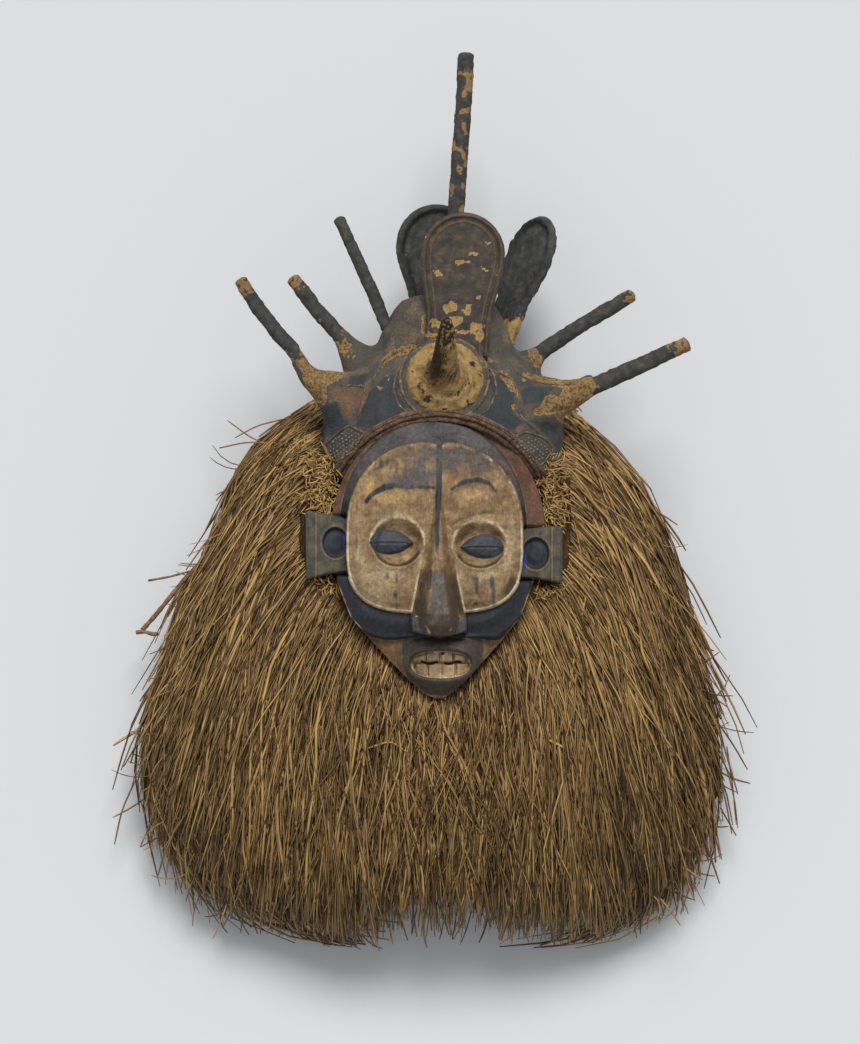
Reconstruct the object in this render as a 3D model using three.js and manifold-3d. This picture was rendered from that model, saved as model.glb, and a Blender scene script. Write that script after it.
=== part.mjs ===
// Initiation mask: a carved and painted wooden face, a cloth-covered crown with paddle petals, a horn
// and wrapped sticks, and a bell of raffia fibre. Millimetres, +Z up. The mask lies on its back: the
// face looks up along +Z, the crown points to +Y, and the origin is on the floor at mid-outline.
import * as THREE from "three";
import { mergeVertices } from "three/addons/utils/BufferGeometryUtils.js";
import Module from "manifold-3d";

const wasm = await Module();
wasm.setup();

// The whole mask
const LENGTH = 712; // from the raffia's hem to the tip of the top stick
const COLLAR_WIDTH = 512; // across the raffia at its widest
const PIECE_GAP = 0.4; // between neighbouring pieces

// Face: one block of light wood, each part of the carving a raised layer of it
const BLOCK = { backZ: 128, edgeZ: 152, crownZ: 176, shell: 10, hollowTop: 163, hollowWall: 10 };
const BLOCK_OUTLINE = [
  [3.2, 64], [36, 57.5], [64, 38], [82, 10], [82, -30], [79, -64], [69, -92], [53, -112], [30, -135],
  [5, -156.5], [-23, -134], [-47, -110], [-66, -92], [-77, -64], [-79, -30], [-76, 10], [-58, 38], [-30, 57.5],
];
const BONNET = { x: -1, y: -25, halfWidth: 73, up: 88, power: 2.1, edgeZ: 176, crownZ: 186 };
const JAW = { x: 0.5, y: -46, halfWidth: 77, down: 65.5, power: 3.6, edgeZ: 172, crownZ: 186 };
const PLATE = { x: 0, y: -32, halfWidth: 70.2, up: 77.5, upPower: 2.4, down: 58.5, downPower: 3.6, edgeZ: 187, crownZ: 199 };
const PLATE_NOTCH = { x: 3.5, depth: 1.6, width: 9 };
const NOSE = [
  { y: 12, base: 2.5, ridge: 1, z: 197 },
  { y: -18, base: 6, ridge: 2, z: 205 },
  { y: -48, base: 9, ridge: 2.4, z: 211 },
  { y: -74, base: 16, ridge: 3, z: 217 },
  { y: -89, base: 22, ridge: 4.5, z: 223 },
  { y: -97, base: 17, ridge: 5.5, z: 227 },
  { y: -105.5, base: 8, ridge: 3.5, z: 227 },
];
const NOSE_AXIS_X = 3.2;
const NOSE_ROOT_Z = 184;
const EYES = [
  { x: -29.7, y: -34, socket: [20.6, 19.5], lid: [-33.4, -33.4], lidSize: [16.5, 10.6] },
  { x: 35.8, y: -35.6, socket: [21, 18.6], lid: [38.2, -36.8], lidSize: [17.2, 9.6] },
];
const EYE = { socketDepth: 7.5, lidRise: 6.5, slit: 1.6, slitDepth: 2.4 };
const MOUTH_OUTLINE = [[-28, -108], [5, -104], [37, -108], [31, -129], [18, -143], [5.4, -153.5], [-8, -143], [-21, -129]];
const MOUTH = { x: 5.4, y: -130, edgeZ: 156, crownZ: 183 };
const TEETH = { x: 5.4, y: -129, halfWidth: 23.5, halfHeight: 11, floorZ: 173, z: 181, perRow: 4, split: 1.2 };
const EARS = [
  { side: -1, innerX: -64, outerX: -100.6, topInner: -14.5, topOuter: -9, bottomInner: -56, bottomOuter: -62, ovalY: -34 },
  { side: 1, innerX: 64, outerX: 99.8, topInner: -22, topOuter: -22, bottomInner: -62.5, bottomOuter: -66, ovalY: -42 },
];
const EAR = { backZ: 150, frontZ: 163, flare: 5, ovalIn: 22.8, oval: [10.6, 12.2], ovalDepth: 5 };

// Crown: stiffened cloth over a cane frame, one hollow cap open at the face and at the nape
const CROWN = { x: 6.5, y: 40, z: 95, size: [99, 99, 98], power: 2.1, wall: 9 };
const ARCH = { x: 3.2, y: -24, radius: 89.5, wall: 6, backZ: 126 };
const RIM = { y: -38, rise: 0.39 }; // the cap's lower edge, from the nape on the floor up to the temples
const BOSS = { from: [9, 104, 118], to: [11, 160, 124], wide: [62, 48], narrow: [38, 33] };
const CONES = [
  { path: [[-66, 78, 134], [-90, 91, 138], [-98.9, 96.5, 139], [-105, 104.5, 140]], radii: [28, 14.5, 9, 7.4] },
  { path: [[-48, 96, 110], [-63, 114.6, 110], [-70.6, 124, 110], [-77, 133, 110]], radii: [26, 14, 8.4, 7.2] },
  { path: [[58, 94, 110], [70, 104.5, 110], [77, 110.5, 110], [84.5, 117.5, 110]], radii: [25, 17, 12, 7.6] },
  { path: [[76, 74, 134], [95, 79.5, 138], [107.8, 83.4, 139], [127, 91.5, 140]], radii: [28, 20, 12.5, 8.8] },
];
const DISC = { centre: [8.4, 95, 179], radius: 31, height: 9, tiltDeg: 16 };

// What stands on the crown
const STICKS = {
  stick_left_outer: { path: [[-96, 92.5, 139], [-124.3, 132.4, 141], [-154, 174.5, 141]], radii: [5.8, 5.1] },
  stick_left_middle: { path: [[-64, 116, 110], [-94.6, 152.4, 110], [-113.5, 177.5, 110]], radii: [6, 5.4] },
  stick_left_inner: { path: [[-33, 126, 128], [-52, 173, 121], [-76, 224.5, 114]], radii: [5.1, 4.3] },
  stick_top: { path: [[9, 142, 124], [18, 240, 124], [25.4, LENGTH / 2, 124]], radii: [7, 6.1] },
  stick_right_inner: { path: [[74, 109, 110], [112.7, 136, 111], [159.6, 164.5, 111]], radii: [6.2, 5.1] },
  stick_right_outer: { path: [[110, 84, 140], [150, 100.5, 141], [202, 124, 142]], radii: [6.7, 6] },
};
const PETALS = {
  petal_front: { base: [17.5, 118, 160], leanDeg: -4, turnDeg: 0, length: 108.5, halfWidth: 33, neck: 25 },
  petal_left: { base: [3, 143, 94], leanDeg: 0.5, turnDeg: 18, length: 94, halfWidth: 34.5, neck: 25 },
  petal_right: { base: [53, 132, 96], leanDeg: -20.5, turnDeg: -60, length: 101.5, halfWidth: 33, neck: 20 },
};
const PETAL = { thickness: 9, rim: 6, recess: 2.6 };
const HORN = { path: [[8.4, 97.6, 188.2], [8.2, 102, 203], [8.6, 113, 229], [9.9, 137, 251]], radii: [24, 14, 8.6, 2.4] };

// Collar: fibre bell from the crown's sides down to the hem, lying on its flat underside
const COLLAR = [
  { y: 88, halfWidth: 84, roof: 96 },
  { y: 76, halfWidth: 108, roof: 126 },
  { y: 49, halfWidth: 143, roof: 146 },
  { y: 16, halfWidth: 167, roof: 158 },
  { y: -32, halfWidth: 188, roof: 164 },
  { y: -81, halfWidth: 206, roof: 166 },
  { y: -130, halfWidth: 222, roof: 166 },
  { y: -178, halfWidth: 238, roof: 158 },
  { y: -227, halfWidth: 252, roof: 138 },
  { y: -256, halfWidth: COLLAR_WIDTH / 2, roof: 124 },
  { y: -286, halfWidth: 242, roof: 108 },
  { y: -318, halfWidth: 206, roof: 92 },
  { y: -342, halfWidth: 166, roof: 82 },
  { y: -LENGTH / 2, halfWidth: 128, roof: 74 },
];
const HEAD_SPACE = [
  { y: 92, halfWidth: 62, roof: 96 },
  { y: 16, halfWidth: 122, roof: 130 },
  { y: -81, halfWidth: 166, roof: 132 },
  { y: -178, halfWidth: 196, roof: 126 },
  { y: -256, halfWidth: 208, roof: 98 },
  { y: -318, halfWidth: 168, roof: 70 },
  { y: -LENGTH / 2 - 6, halfWidth: 100, roof: 56 },
];
const COLLAR_SECTION = { floor: 0, sideZ: 20, foot: 0.94, power: 2.2, arc: 20 };
const HEAD_SECTION = { floor: 18, sideZ: 26, foot: 0.94, power: 2.2, arc: 16 };

// A closed surface of triangles as a solid that can be cut and joined.
function solid(geometry) {
  const bare = new THREE.BufferGeometry().setAttribute("position", geometry.getAttribute("position"));
  bare.setIndex(geometry.index);
  const merged = mergeVertices(bare, 1e-3);
  const triVerts = new Uint32Array(merged.index.array);
  const vertProperties = merged.attributes.position.array;
  return new wasm.Manifold(new wasm.Mesh({ numProp: 3, vertProperties, triVerts }));
}

// A solid through rings of points with the same count, closed by a fan at each end.
function loft(rings) {
  const count = rings[0].length;
  const points = rings.flat().map((p) => p.clone());
  const last = points.length - count;
  const faces = [];
  for (let r = 0; r + 1 < rings.length; r++) {
    for (let i = 0; i < count; i++) {
      const [a, b] = [r * count + i, r * count + ((i + 1) % count)];
      faces.push(a, b, b + count, a, b + count, a + count);
    }
  }
  for (const first of [0, last]) {
    const middle = new THREE.Vector3();
    for (const p of points.slice(first, first + count)) middle.addScaledVector(p, 1 / count);
    points.push(middle);
    for (let i = 0; i < count; i++) {
      const [a, b] = [first + i, first + ((i + 1) % count)];
      faces.push(...(first === 0 ? [b, a, points.length - 1] : [a, b, points.length - 1]));
    }
  }
  const outward = solid(new THREE.BufferGeometry().setFromPoints(points).setIndex(faces));
  if (outward.volume() > 0) return outward;
  const turned = faces.flatMap((_, i) => (i % 3 === 0 ? [faces[i + 1], faces[i], faces[i + 2]] : []));
  return solid(new THREE.BufferGeometry().setFromPoints(points).setIndex(turned));
}

// Points round a superellipse whose upper and lower halves have their own height and squareness.
function egg({ x, y, halfWidth, up, upPower, down, downPower }, sides) {
  return Array.from({ length: sides }, (_, i) => {
    const angle = (2 * Math.PI * (i + 0.5)) / sides;
    const [c, s] = [Math.cos(angle), Math.sin(angle)];
    const [height, power] = s > 0 ? [up, upPower] : [down, downPower];
    const reach = (Math.abs(c / halfWidth) ** power + Math.abs(s / height) ** power) ** (-1 / power);
    return new THREE.Vector2(x + c * reach, y + s * reach);
  });
}

// Points along a smooth closed curve through corners, pushed outward by grow.
function smoothOutline(corners, sides, grow = 0) {
  const curve = new THREE.CatmullRomCurve3(corners.map(([x, y]) => new THREE.Vector3(x, y, 0)), true, "centripetal");
  const points = curve.getSpacedPoints(sides).slice(0, sides);
  const clockwise = THREE.ShapeUtils.area(points) < 0 ? 1 : -1;
  return points.map((p, i) => {
    const along = points[(i + 1) % sides].clone().sub(points[(i + sides - 1) % sides]).normalize();
    return new THREE.Vector2(p.x - along.y * grow * clockwise, p.y + along.x * grow * clockwise);
  });
}

// A layer with a flat back whose front rises from edgeZ at its outline to crownZ over its middle.
function mound(outline, middle, backZ, edgeZ, crownZ) {
  const shares = [1, 0.9, 0.72, 0.46, 0.16];
  const ring = (share, z) =>
    outline.map((p) => new THREE.Vector3(middle.x + (p.x - middle.x) * share, middle.y + (p.y - middle.y) * share, z));
  return loft([ring(1, backZ), ...shares.map((share) => ring(share, edgeZ + (crownZ - edgeZ) * (1 - share ** 2)))]);
}

function ellipsoid(centre, radii, around = 20, down = 12) {
  const ball = new THREE.SphereGeometry(1, around, down).rotateX(Math.PI / 2);
  return solid(ball.scale(...radii).translate(...centre));
}

function box(centre, size) {
  return solid(new THREE.BoxGeometry(...size).translate(...centre));
}

// A round bar of changing radius along a path of points.
function rod(path, radii, sides, grow = 0, overrun = 0) {
  const points = path.map((p) => new THREE.Vector3(...p));
  const first = points[1].clone().sub(points[0]).normalize();
  points[0].addScaledVector(first, -overrun);
  const across = new THREE.Vector3(0, 0, 1).addScaledVector(first, -first.z).normalize();
  return loft(
    points.map((p, k) => {
      const along = points[Math.min(k + 1, points.length - 1)].clone().sub(points[Math.max(k - 1, 0)]).normalize();
      const u = across.clone().addScaledVector(along, -across.dot(along)).normalize();
      const v = along.clone().cross(u);
      const radius = grow + (radii.length === points.length ? radii[k] : radii[0] + ((radii[1] - radii[0]) * k) / (points.length - 1));
      return Array.from({ length: sides }, (_, i) => {
        const angle = (2 * Math.PI * i) / sides;
        return p.clone().addScaledVector(u, radius * Math.cos(angle)).addScaledVector(v, radius * Math.sin(angle));
      });
    }),
  );
}

// The wooden face: block, bonnet edge, jaw, plate and nose joined, then eyes, mouth and ears carved.
function makeFace() {
  const sides = 40;
  const plateOutline = egg(PLATE, sides).map((p) => {
    const off = (p.x - PLATE_NOTCH.x) / PLATE_NOTCH.width;
    return p.y > 0 ? new THREE.Vector2(p.x, p.y - PLATE_NOTCH.depth * Math.exp(-off * off)) : p;
  });
  const bonnet = egg({ ...BONNET, upPower: BONNET.power, down: 60, downPower: 2.4 }, sides);
  const jaw = egg({ ...JAW, up: 60, upPower: 2.2, downPower: JAW.power }, sides);
  let face = mound(smoothOutline(BLOCK_OUTLINE, 46), new THREE.Vector2(2, -42), BLOCK.backZ, BLOCK.edgeZ, BLOCK.crownZ)
    .add(mound(bonnet, BONNET, BLOCK.edgeZ, BONNET.edgeZ, BONNET.crownZ))
    .add(mound(jaw, JAW, BLOCK.edgeZ, JAW.edgeZ, JAW.crownZ))
    .add(mound(plateOutline, PLATE, BLOCK.edgeZ, PLATE.edgeZ, PLATE.crownZ))
    .add(mound(smoothOutline(MOUTH_OUTLINE, 24), MOUTH, BLOCK.edgeZ - 4, MOUTH.edgeZ, MOUTH.crownZ));
  for (const eye of EYES) {
    const bowl = [eye.socket[0] * 1.12, eye.socket[1] * 1.12, EYE.socketDepth * 1.9];
    face = face.subtract(ellipsoid([eye.x, eye.y, PLATE.crownZ - 2 + EYE.socketDepth * 0.9], bowl, 20, 8));
    const lidZ = PLATE.crownZ - EYE.socketDepth - 3;
    let lid = ellipsoid([...eye.lid, lidZ], [eye.lidSize[0], eye.lidSize[1], EYE.lidRise + 3], 16, 8);
    const slitZ = lidZ + EYE.lidRise + 3;
    lid = lid.subtract(box([eye.lid[0], eye.lid[1] - 1, slitZ], [eye.lidSize[0] * 1.7, EYE.slit, EYE.slitDepth * 2]));
    face = face.add(lid);
  }
  const nose = NOSE.map(({ y, base, ridge, z }) =>
    [[-base, NOSE_ROOT_Z], [-base * 0.72, (NOSE_ROOT_Z + z) / 2 + 1], [-ridge, z - 1], [ridge, z - 1], [base * 0.72, (NOSE_ROOT_Z + z) / 2 + 1], [base, NOSE_ROOT_Z]].map(
      ([x, height]) => new THREE.Vector3(NOSE_AXIS_X + x, y, height),
    ),
  );
  face = face.add(loft(nose));

  const mouthHole = ellipsoid([TEETH.x, TEETH.y, TEETH.z + 3], [TEETH.halfWidth * 1.06, TEETH.halfHeight * 1.06, TEETH.z + 3 - TEETH.floorZ], 18, 8);
  face = face.subtract(mouthHole);
  const step = (2 * TEETH.halfWidth) / (TEETH.perRow + 0.6);
  for (let i = 0; i < TEETH.perRow; i++) {
    const off = (i - (TEETH.perRow - 1) / 2) * step;
    const tall = TEETH.halfHeight * Math.sqrt(1 - (off / TEETH.halfWidth) ** 2) - TEETH.split;
    for (const row of [-1, 1]) {
      const middle = [TEETH.x + off, TEETH.y + row * (TEETH.split / 2 + tall / 2), TEETH.z - 6];
      face = face.add(box(middle, [step - TEETH.split, tall, 10]));
    }
  }

  for (const ear of EARS) {
    const ridgeX = ear.outerX - ear.side * 8.5;
    const share = (x) => (x - ear.innerX) / (ear.outerX - ear.innerX);
    const rings = [ear.innerX, ridgeX, ear.outerX].map((x, k) => {
      const top = THREE.MathUtils.lerp(ear.topInner, ear.topOuter, share(x));
      const bottom = THREE.MathUtils.lerp(ear.bottomInner, ear.bottomOuter, share(x));
      const front = EAR.frontZ + [0, EAR.flare, EAR.flare - 4][k];
      return [[bottom, EAR.backZ], [top, EAR.backZ], [top, front], [bottom, front]].map(([y, z]) => new THREE.Vector3(x, y, z));
    });
    const oval = [ear.outerX - ear.side * EAR.ovalIn, ear.ovalY, EAR.frontZ + 6];
    face = face.add(loft(rings)).subtract(ellipsoid(oval, [...EAR.oval, EAR.ovalDepth + 6], 14, 6));
  }

  const inside = smoothOutline(BLOCK_OUTLINE, 30, -BLOCK.shell);
  return face.subtract(mound(inside, new THREE.Vector2(2, -42), BLOCK.backZ - 5, BLOCK.backZ + BLOCK.hollowWall, BLOCK.hollowTop));
}

// One upright paddle: a rounded head on a narrower neck, its rim standing proud of both faces.
function makePetal({ base, leanDeg, turnDeg, length, halfWidth, neck }, grow = 0) {
  const headY = length - halfWidth;
  const side = [[neck, 0], [neck + 0.5, headY * 0.35], [THREE.MathUtils.lerp(neck, halfWidth, 0.55), headY * 0.68], [halfWidth, headY]];
  const head = [35, 65].map((deg) => {
    const angle = THREE.MathUtils.degToRad(deg);
    return [halfWidth * Math.cos(angle), headY + halfWidth * Math.sin(angle)];
  });
  const right = [...side, ...head];
  const corners = [...right, [0, length], ...right.map(([x, y]) => [-x, y]).reverse()];
  const outline = new THREE.Shape(smoothOutline(corners, 30, grow));
  const body = new THREE.ExtrudeGeometry(outline, { depth: PETAL.thickness + 2 * grow, bevelEnabled: false });
  let petal = solid(indexed(body.translate(0, 0, -PETAL.thickness / 2 - grow)));
  if (grow === 0) {
    const inner = new THREE.Shape(smoothOutline(corners, 30, -PETAL.rim));
    for (const z of [PETAL.thickness / 2 - PETAL.recess, -PETAL.thickness / 2 + PETAL.recess - 10]) {
      const recess = new THREE.ExtrudeGeometry(inner, { depth: 10, bevelEnabled: false });
      petal = petal.subtract(solid(indexed(recess.translate(0, 0, z))));
    }
  }
  const turn = new THREE.Matrix4().makeRotationY(THREE.MathUtils.degToRad(turnDeg));
  const lean = new THREE.Matrix4().makeRotationZ(THREE.MathUtils.degToRad(leanDeg));
  const place = new THREE.Matrix4().makeTranslation(...base).multiply(lean).multiply(turn);
  return petal.transform(place.toArray());
}

function indexed(geometry) {
  geometry.deleteAttribute("normal");
  geometry.deleteAttribute("uv");
  return mergeVertices(geometry, 1e-4);
}

// The superellipsoid that shapes the cap, its surface moved outward by grow.
function capBody(grow, around, down) {
  const round = (value) => Math.sign(value) * Math.abs(value) ** (2 / CROWN.power);
  const ball = new THREE.SphereGeometry(1, around, down).rotateX(Math.PI / 2);
  const position = ball.getAttribute("position");
  const size = CROWN.size.map((value) => value + grow);
  for (let i = 0; i < position.count; i++) {
    const unit = new THREE.Vector3().fromBufferAttribute(position, i);
    const reach = size.reduce((sum, value, k) => sum + Math.abs(unit.getComponent(k) / value) ** CROWN.power, 0) ** (-1 / CROWN.power);
    unit.multiplyScalar(reach);
    position.setXYZ(i, CROWN.x + unit.x, CROWN.y + unit.y, CROWN.z + unit.z);
  }
  return solid(ball);
}

// Everything on the crown's side of a tilted cut that runs from the nape up to the temples.
function aboveRim(offset) {
  const far = 400;
  const [low, high] = [RIM.y + offset - 50 * RIM.rise, RIM.y + offset + 350 * RIM.rise];
  const corners = [[low, -50], [far, -50], [far, 350], [high, 350]];
  return loft([-200, 200].map((x) => corners.map(([y, z]) => new THREE.Vector3(x, y, z))));
}

// The cap: shell, arch wall, cones, disc and boss, with a socket for each thing that it holds.
function makeCrown() {
  const archDisc = (radius, backZ) =>
    solid(new THREE.CylinderGeometry(radius, radius, 260 - backZ, 44).rotateX(Math.PI / 2).translate(ARCH.x, ARCH.y, (260 + backZ) / 2));
  const outer = capBody(0, 30, 18);
  const inner = capBody(-CROWN.wall, 24, 12);
  const ring = (centre, radii, z) =>
    Array.from({ length: 20 }, (_, i) => {
      const angle = (2 * Math.PI * i) / 20;
      return new THREE.Vector3(centre[0] + radii[0] * Math.cos(angle), centre[1], centre[2] + radii[1] * Math.sin(angle));
    });
  const capRing = [BOSS.to[0], BOSS.to[1] + 4, BOSS.to[2]];
  const boss = loft([ring(BOSS.from, BOSS.wide), ring(BOSS.to, BOSS.narrow), ring(capRing, BOSS.narrow.map((r) => r * 0.7))]);
  const disc = new THREE.CylinderGeometry(DISC.radius, DISC.radius + 2, DISC.height, 28)
    .rotateX(Math.PI / 2 - THREE.MathUtils.degToRad(DISC.tiltDeg))
    .translate(...DISC.centre);
  let crown = outer.add(boss).add(solid(disc));
  for (const cone of CONES) crown = crown.add(rod(cone.path, cone.radii, 11));
  crown = crown.subtract(inner);
  crown = crown.add(archDisc(ARCH.radius + ARCH.wall, ARCH.backZ).intersect(outer)).subtract(archDisc(ARCH.radius, 60));
  crown = crown.intersect(aboveRim(0)).subtract(box([0, 0, -50], [400, 400, 100]));
  for (const { path, radii } of Object.values(STICKS)) crown = crown.subtract(rod(path, radii, 10, PIECE_GAP + 0.1, 1));
  for (const petal of Object.values(PETALS)) crown = crown.subtract(makePetal(petal, PIECE_GAP));
  return crown;
}

// One cross-section of the bell: flat below, rounded above, widest a little over the floor.
function bellRing({ y, halfWidth, roof }, { floor, sideZ, foot, power, arc }) {
  const top = Array.from({ length: arc + 1 }, (_, i) => {
    const angle = (Math.PI * i) / arc;
    const c = Math.cos(angle);
    const flat = (value) => Math.sign(value) * Math.abs(value) ** (2 / power);
    return new THREE.Vector3(halfWidth * flat(c), y, sideZ + (roof - sideZ) * Math.max(flat(Math.sin(angle)), 0));
  });
  return [new THREE.Vector3(halfWidth * foot, y, floor), ...top, new THREE.Vector3(-halfWidth * foot, y, floor)];
}

function makeCollar() {
  const shell = loft(COLLAR.map((station) => bellRing(station, COLLAR_SECTION)));
  const hollow = loft(HEAD_SPACE.map((station) => bellRing(station, HEAD_SECTION)));
  const gap = PIECE_GAP + 0.6;
  const jaw = egg({ ...JAW, halfWidth: JAW.halfWidth + gap, down: JAW.down + gap, up: 60, upPower: 2.2, downPower: JAW.power }, 44);
  let collar = shell.subtract(hollow).subtract(capBody(PIECE_GAP + 0.8, 32, 18));
  for (const around of [smoothOutline(BLOCK_OUTLINE, 46, gap), jaw]) {
    collar = collar.subtract(loft([60, 260].map((z) => around.map((p) => new THREE.Vector3(p.x, p.y, z)))));
  }
  for (const ear of EARS) {
    const [top, bottom] = [Math.max(ear.topInner, ear.topOuter) + gap, ear.bottomOuter - gap];
    const reach = Math.abs(ear.outerX) + gap;
    const middle = [(ear.side * reach) / 2, (top + bottom) / 2, EAR.backZ - gap + 50];
    collar = collar.subtract(box(middle, [reach, top - bottom, 100]));
  }
  return collar;
}

const LOOKS = {
  face: [0x8a6a45, 0.75],
  crown: [0x24242a, 0.7],
  raffia_collar: [0x8a6a3c, 0.95],
  petal: [0x2b2624, 0.75],
  stick: [0x29272a, 0.8],
  brow_horn: [0x9a7038, 0.95],
};

function place(name, made, look) {
  const { vertProperties, triVerts } = made.getMesh();
  const geometry = new THREE.BufferGeometry().setAttribute("position", new THREE.BufferAttribute(vertProperties, 3));
  geometry.setIndex(new THREE.BufferAttribute(triVerts, 1));
  geometry.computeVertexNormals();
  const [color, roughness] = LOOKS[look];
  const mesh = new THREE.Mesh(geometry, new THREE.MeshStandardMaterial({ color, roughness, metalness: 0 }));
  mesh.name = name;
  return mesh;
}

const group = new THREE.Group();
group.add(place("face", makeFace(), "face"));
group.add(place("crown", makeCrown(), "crown"));
group.add(place("raffia_collar", makeCollar(), "raffia_collar"));
for (const [name, spec] of Object.entries(PETALS)) group.add(place(name, makePetal(spec), "petal"));
for (const [name, { path, radii }] of Object.entries(STICKS)) group.add(place(name, rod(path, radii, 10), "stick"));
group.add(place("brow_horn", rod(HORN.path, HORN.radii, 14), "brow_horn"));

export default group;
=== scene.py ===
"""Looks of an initiation mask: carved wood face, cloth crown with petals, horn and sticks, raffia bell."""
import math
import random

import bmesh
import bpy
import numpy as np
from mathutils import Matrix, Vector
from mathutils.bvhtree import BVHTree


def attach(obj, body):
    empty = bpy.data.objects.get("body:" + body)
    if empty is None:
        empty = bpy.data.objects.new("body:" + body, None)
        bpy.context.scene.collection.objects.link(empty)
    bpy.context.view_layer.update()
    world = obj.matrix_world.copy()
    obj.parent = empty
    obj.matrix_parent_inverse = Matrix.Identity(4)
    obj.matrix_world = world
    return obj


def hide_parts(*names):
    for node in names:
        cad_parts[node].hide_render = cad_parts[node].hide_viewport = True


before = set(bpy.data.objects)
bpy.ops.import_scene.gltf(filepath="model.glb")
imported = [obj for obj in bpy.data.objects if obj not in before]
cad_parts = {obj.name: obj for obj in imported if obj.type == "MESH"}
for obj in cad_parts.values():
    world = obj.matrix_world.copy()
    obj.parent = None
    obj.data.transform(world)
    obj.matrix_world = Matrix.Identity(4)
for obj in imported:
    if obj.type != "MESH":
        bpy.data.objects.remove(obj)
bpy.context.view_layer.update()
MM = 0.001


# The carved face: one block of light wood with a bonnet edge, a raised plate, a jaw crescent and a
# chin. It was cut with an adze and knife, painted, handled and rubbed, so every edge is soft.
def noise3(points, cell, seed):
    """Smooth noise from -1 to 1 at points, changing over about one cell, in the same unit."""
    q = points / cell + seed * 17.31
    base = np.floor(q).astype(np.int64)
    f = q - base
    f = f * f * (3 - 2 * f)
    total = np.zeros(len(points))
    for corner in range(8):
        offset = np.array([corner & 1, corner >> 1 & 1, corner >> 2 & 1])
        c = base + offset
        h = (c[:, 0] * 73856093) ^ (c[:, 1] * 19349663) ^ (c[:, 2] * 83492791) ^ (seed * 2654435)
        h = (h ^ (h >> 13)) * 1274126177 & 0x7FFFFFFF
        weight = np.prod(np.where(offset, f, 1 - f), axis=1)
        total += weight * (h % 65536 / 32768 - 1)
    return total


def step(low, high, value):
    """0 below low, 1 above high, and a smooth climb between; high may be the lower one."""
    t = np.clip((value - low) / (high - low), 0, 1)
    return t * t * (3 - 2 * t)


def hump(x, y, cx, cy, sx, sy):
    """A soft round hill of height 1 at (cx, cy)."""
    return np.exp(-(((x - cx) / sx) ** 2) - ((y - cy) / sy) ** 2)


def hills(x, y, rows):
    """Soft round hills added up, each (cx, cy, sx, sy, height)."""
    return sum(height * hump(x, y, cx, cy, sx, sy) for cx, cy, sx, sy, height in rows)


def highest(x, y, rows):
    """The highest of several soft round hills at each place, each (cx, cy, sx, sy, height)."""
    return np.max([height * hump(x, y, cx, cy, sx, sy) for cx, cy, sx, sy, height in rows], axis=0)


def beyond_egg(x, y, cx, cy, half, up, up_power, down, down_power):
    """Distance outside a superellipse with its own upper and lower half; negative inside."""
    tall = np.where(y > cy, up, down)
    power = np.where(y > cy, up_power, down_power)
    share = (np.abs((x - cx) / half) ** power + np.abs((y - cy) / tall) ** power) ** (1 / power)
    share = np.maximum(share, 1e-3)
    return np.hypot(x - cx, y - cy) * (1 - 1 / share)


def along_line(x, y, line):
    """Distance from a bent line of points, and how far along it the nearest place is, 0 to 1."""
    best = np.full(x.shape, 1e9)
    where = np.zeros(x.shape)
    for k in range(len(line) - 1):
        (ax, ay), (bx, by) = line[k], line[k + 1]
        dx, dy = bx - ax, by - ay
        t = np.clip(((x - ax) * dx + (y - ay) * dy) / (dx * dx + dy * dy), 0, 1)
        d = np.hypot(x - ax - t * dx, y - ay - t * dy)
        where = np.where(d < best, (k + t) / (len(line) - 1), where)
        best = np.minimum(best, d)
    return best, where


AXIS_X = 3.2
CHIN_Y = -156.5
# Above this height the head's outline is round, below it the outline follows the tables of its sides.
ROUND_Y = -24
HEAD_RADIUS = 88.2
# Outlines in plan: middle x and y, half width, then height and power of the upper half and the lower.
BONNET = (-0.6, -25, 73.6, 87.6, 2.1, 62, 2.4)
JAW = (0, -46, 77.5, 60, 2.2, 64, 3.4)
PLATE = (0.5, -32, 70.3, 77.2, 2.35, 57.5, 3.3)
MOUTH = (6.8, -119.5, 32, 30, 2.3, 34.5, 2.2)
TEETH = (5.3, -129.4, 24.2, 11.2, 2.5, 11, 2.3)
BROW_FOLD = [(13, -21), (19, -16.5), (27, -13.2), (36, -11.4), (46, -10.6)]
# Where the block ends at each height of its jaw and cheeks.
SIDE_Y = [-156, -154.6, -152.4, -145, -134.5, -122, -111, -92, -64, -30, -24]
SIDE_LEFT = [0.5, -4, -8, -16, -27, -39, -49, -65.5, -76.5, -80.2, -81]
SIDE_RIGHT = [7.5, 10, 13.5, 22, 32, 43, 53, 68, 78.5, 86, 87.4]
EYES = [
    {"x": -28.6, "y": -33.6, "wide": 20.2, "tall": 19.4, "low": -50.3, "high": -16.6, "blunt": -1,
     "slit": -33.8, "top": 10.2, "bottom": 9.0},
    {"x": 35.8, "y": -35.6, "wide": 20.8, "tall": 18.6, "low": 20.6, "high": 54.8, "blunt": 1,
     "slit": -37.2, "top": 9.8, "bottom": 8.8},
]


def lid_share(x, y, eye):
    """Height over a closed lid: 1 at its middle line, 0 at its outline, negative outside."""
    t = (x - eye["low"]) / (eye["high"] - eye["low"])
    t = t if eye["blunt"] < 0 else 1 - t
    peak = 0.43
    left = 1 - np.clip((peak - t) / peak, 0, 2) ** 2.3
    right = 1 - np.clip((t - peak) / (1 - peak), 0, 2) ** 2.1
    bulge = np.where(t < peak, np.sign(left) * np.abs(left) ** 0.62, np.sign(right) * np.abs(right) ** 0.9)
    reach = np.where(y > eye["slit"], eye["top"], eye["bottom"]) * np.maximum(bulge, 0.02)
    return np.where(bulge > 0, 1 - np.abs(y - eye["slit"]) / reach, -1)


def plate_beyond(x, y):
    d = beyond_egg(x, y, *PLATE)
    return d + 2.6 * np.exp(-(((x - 3.6) / 5.5) ** 2)) * (y > 0)


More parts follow.
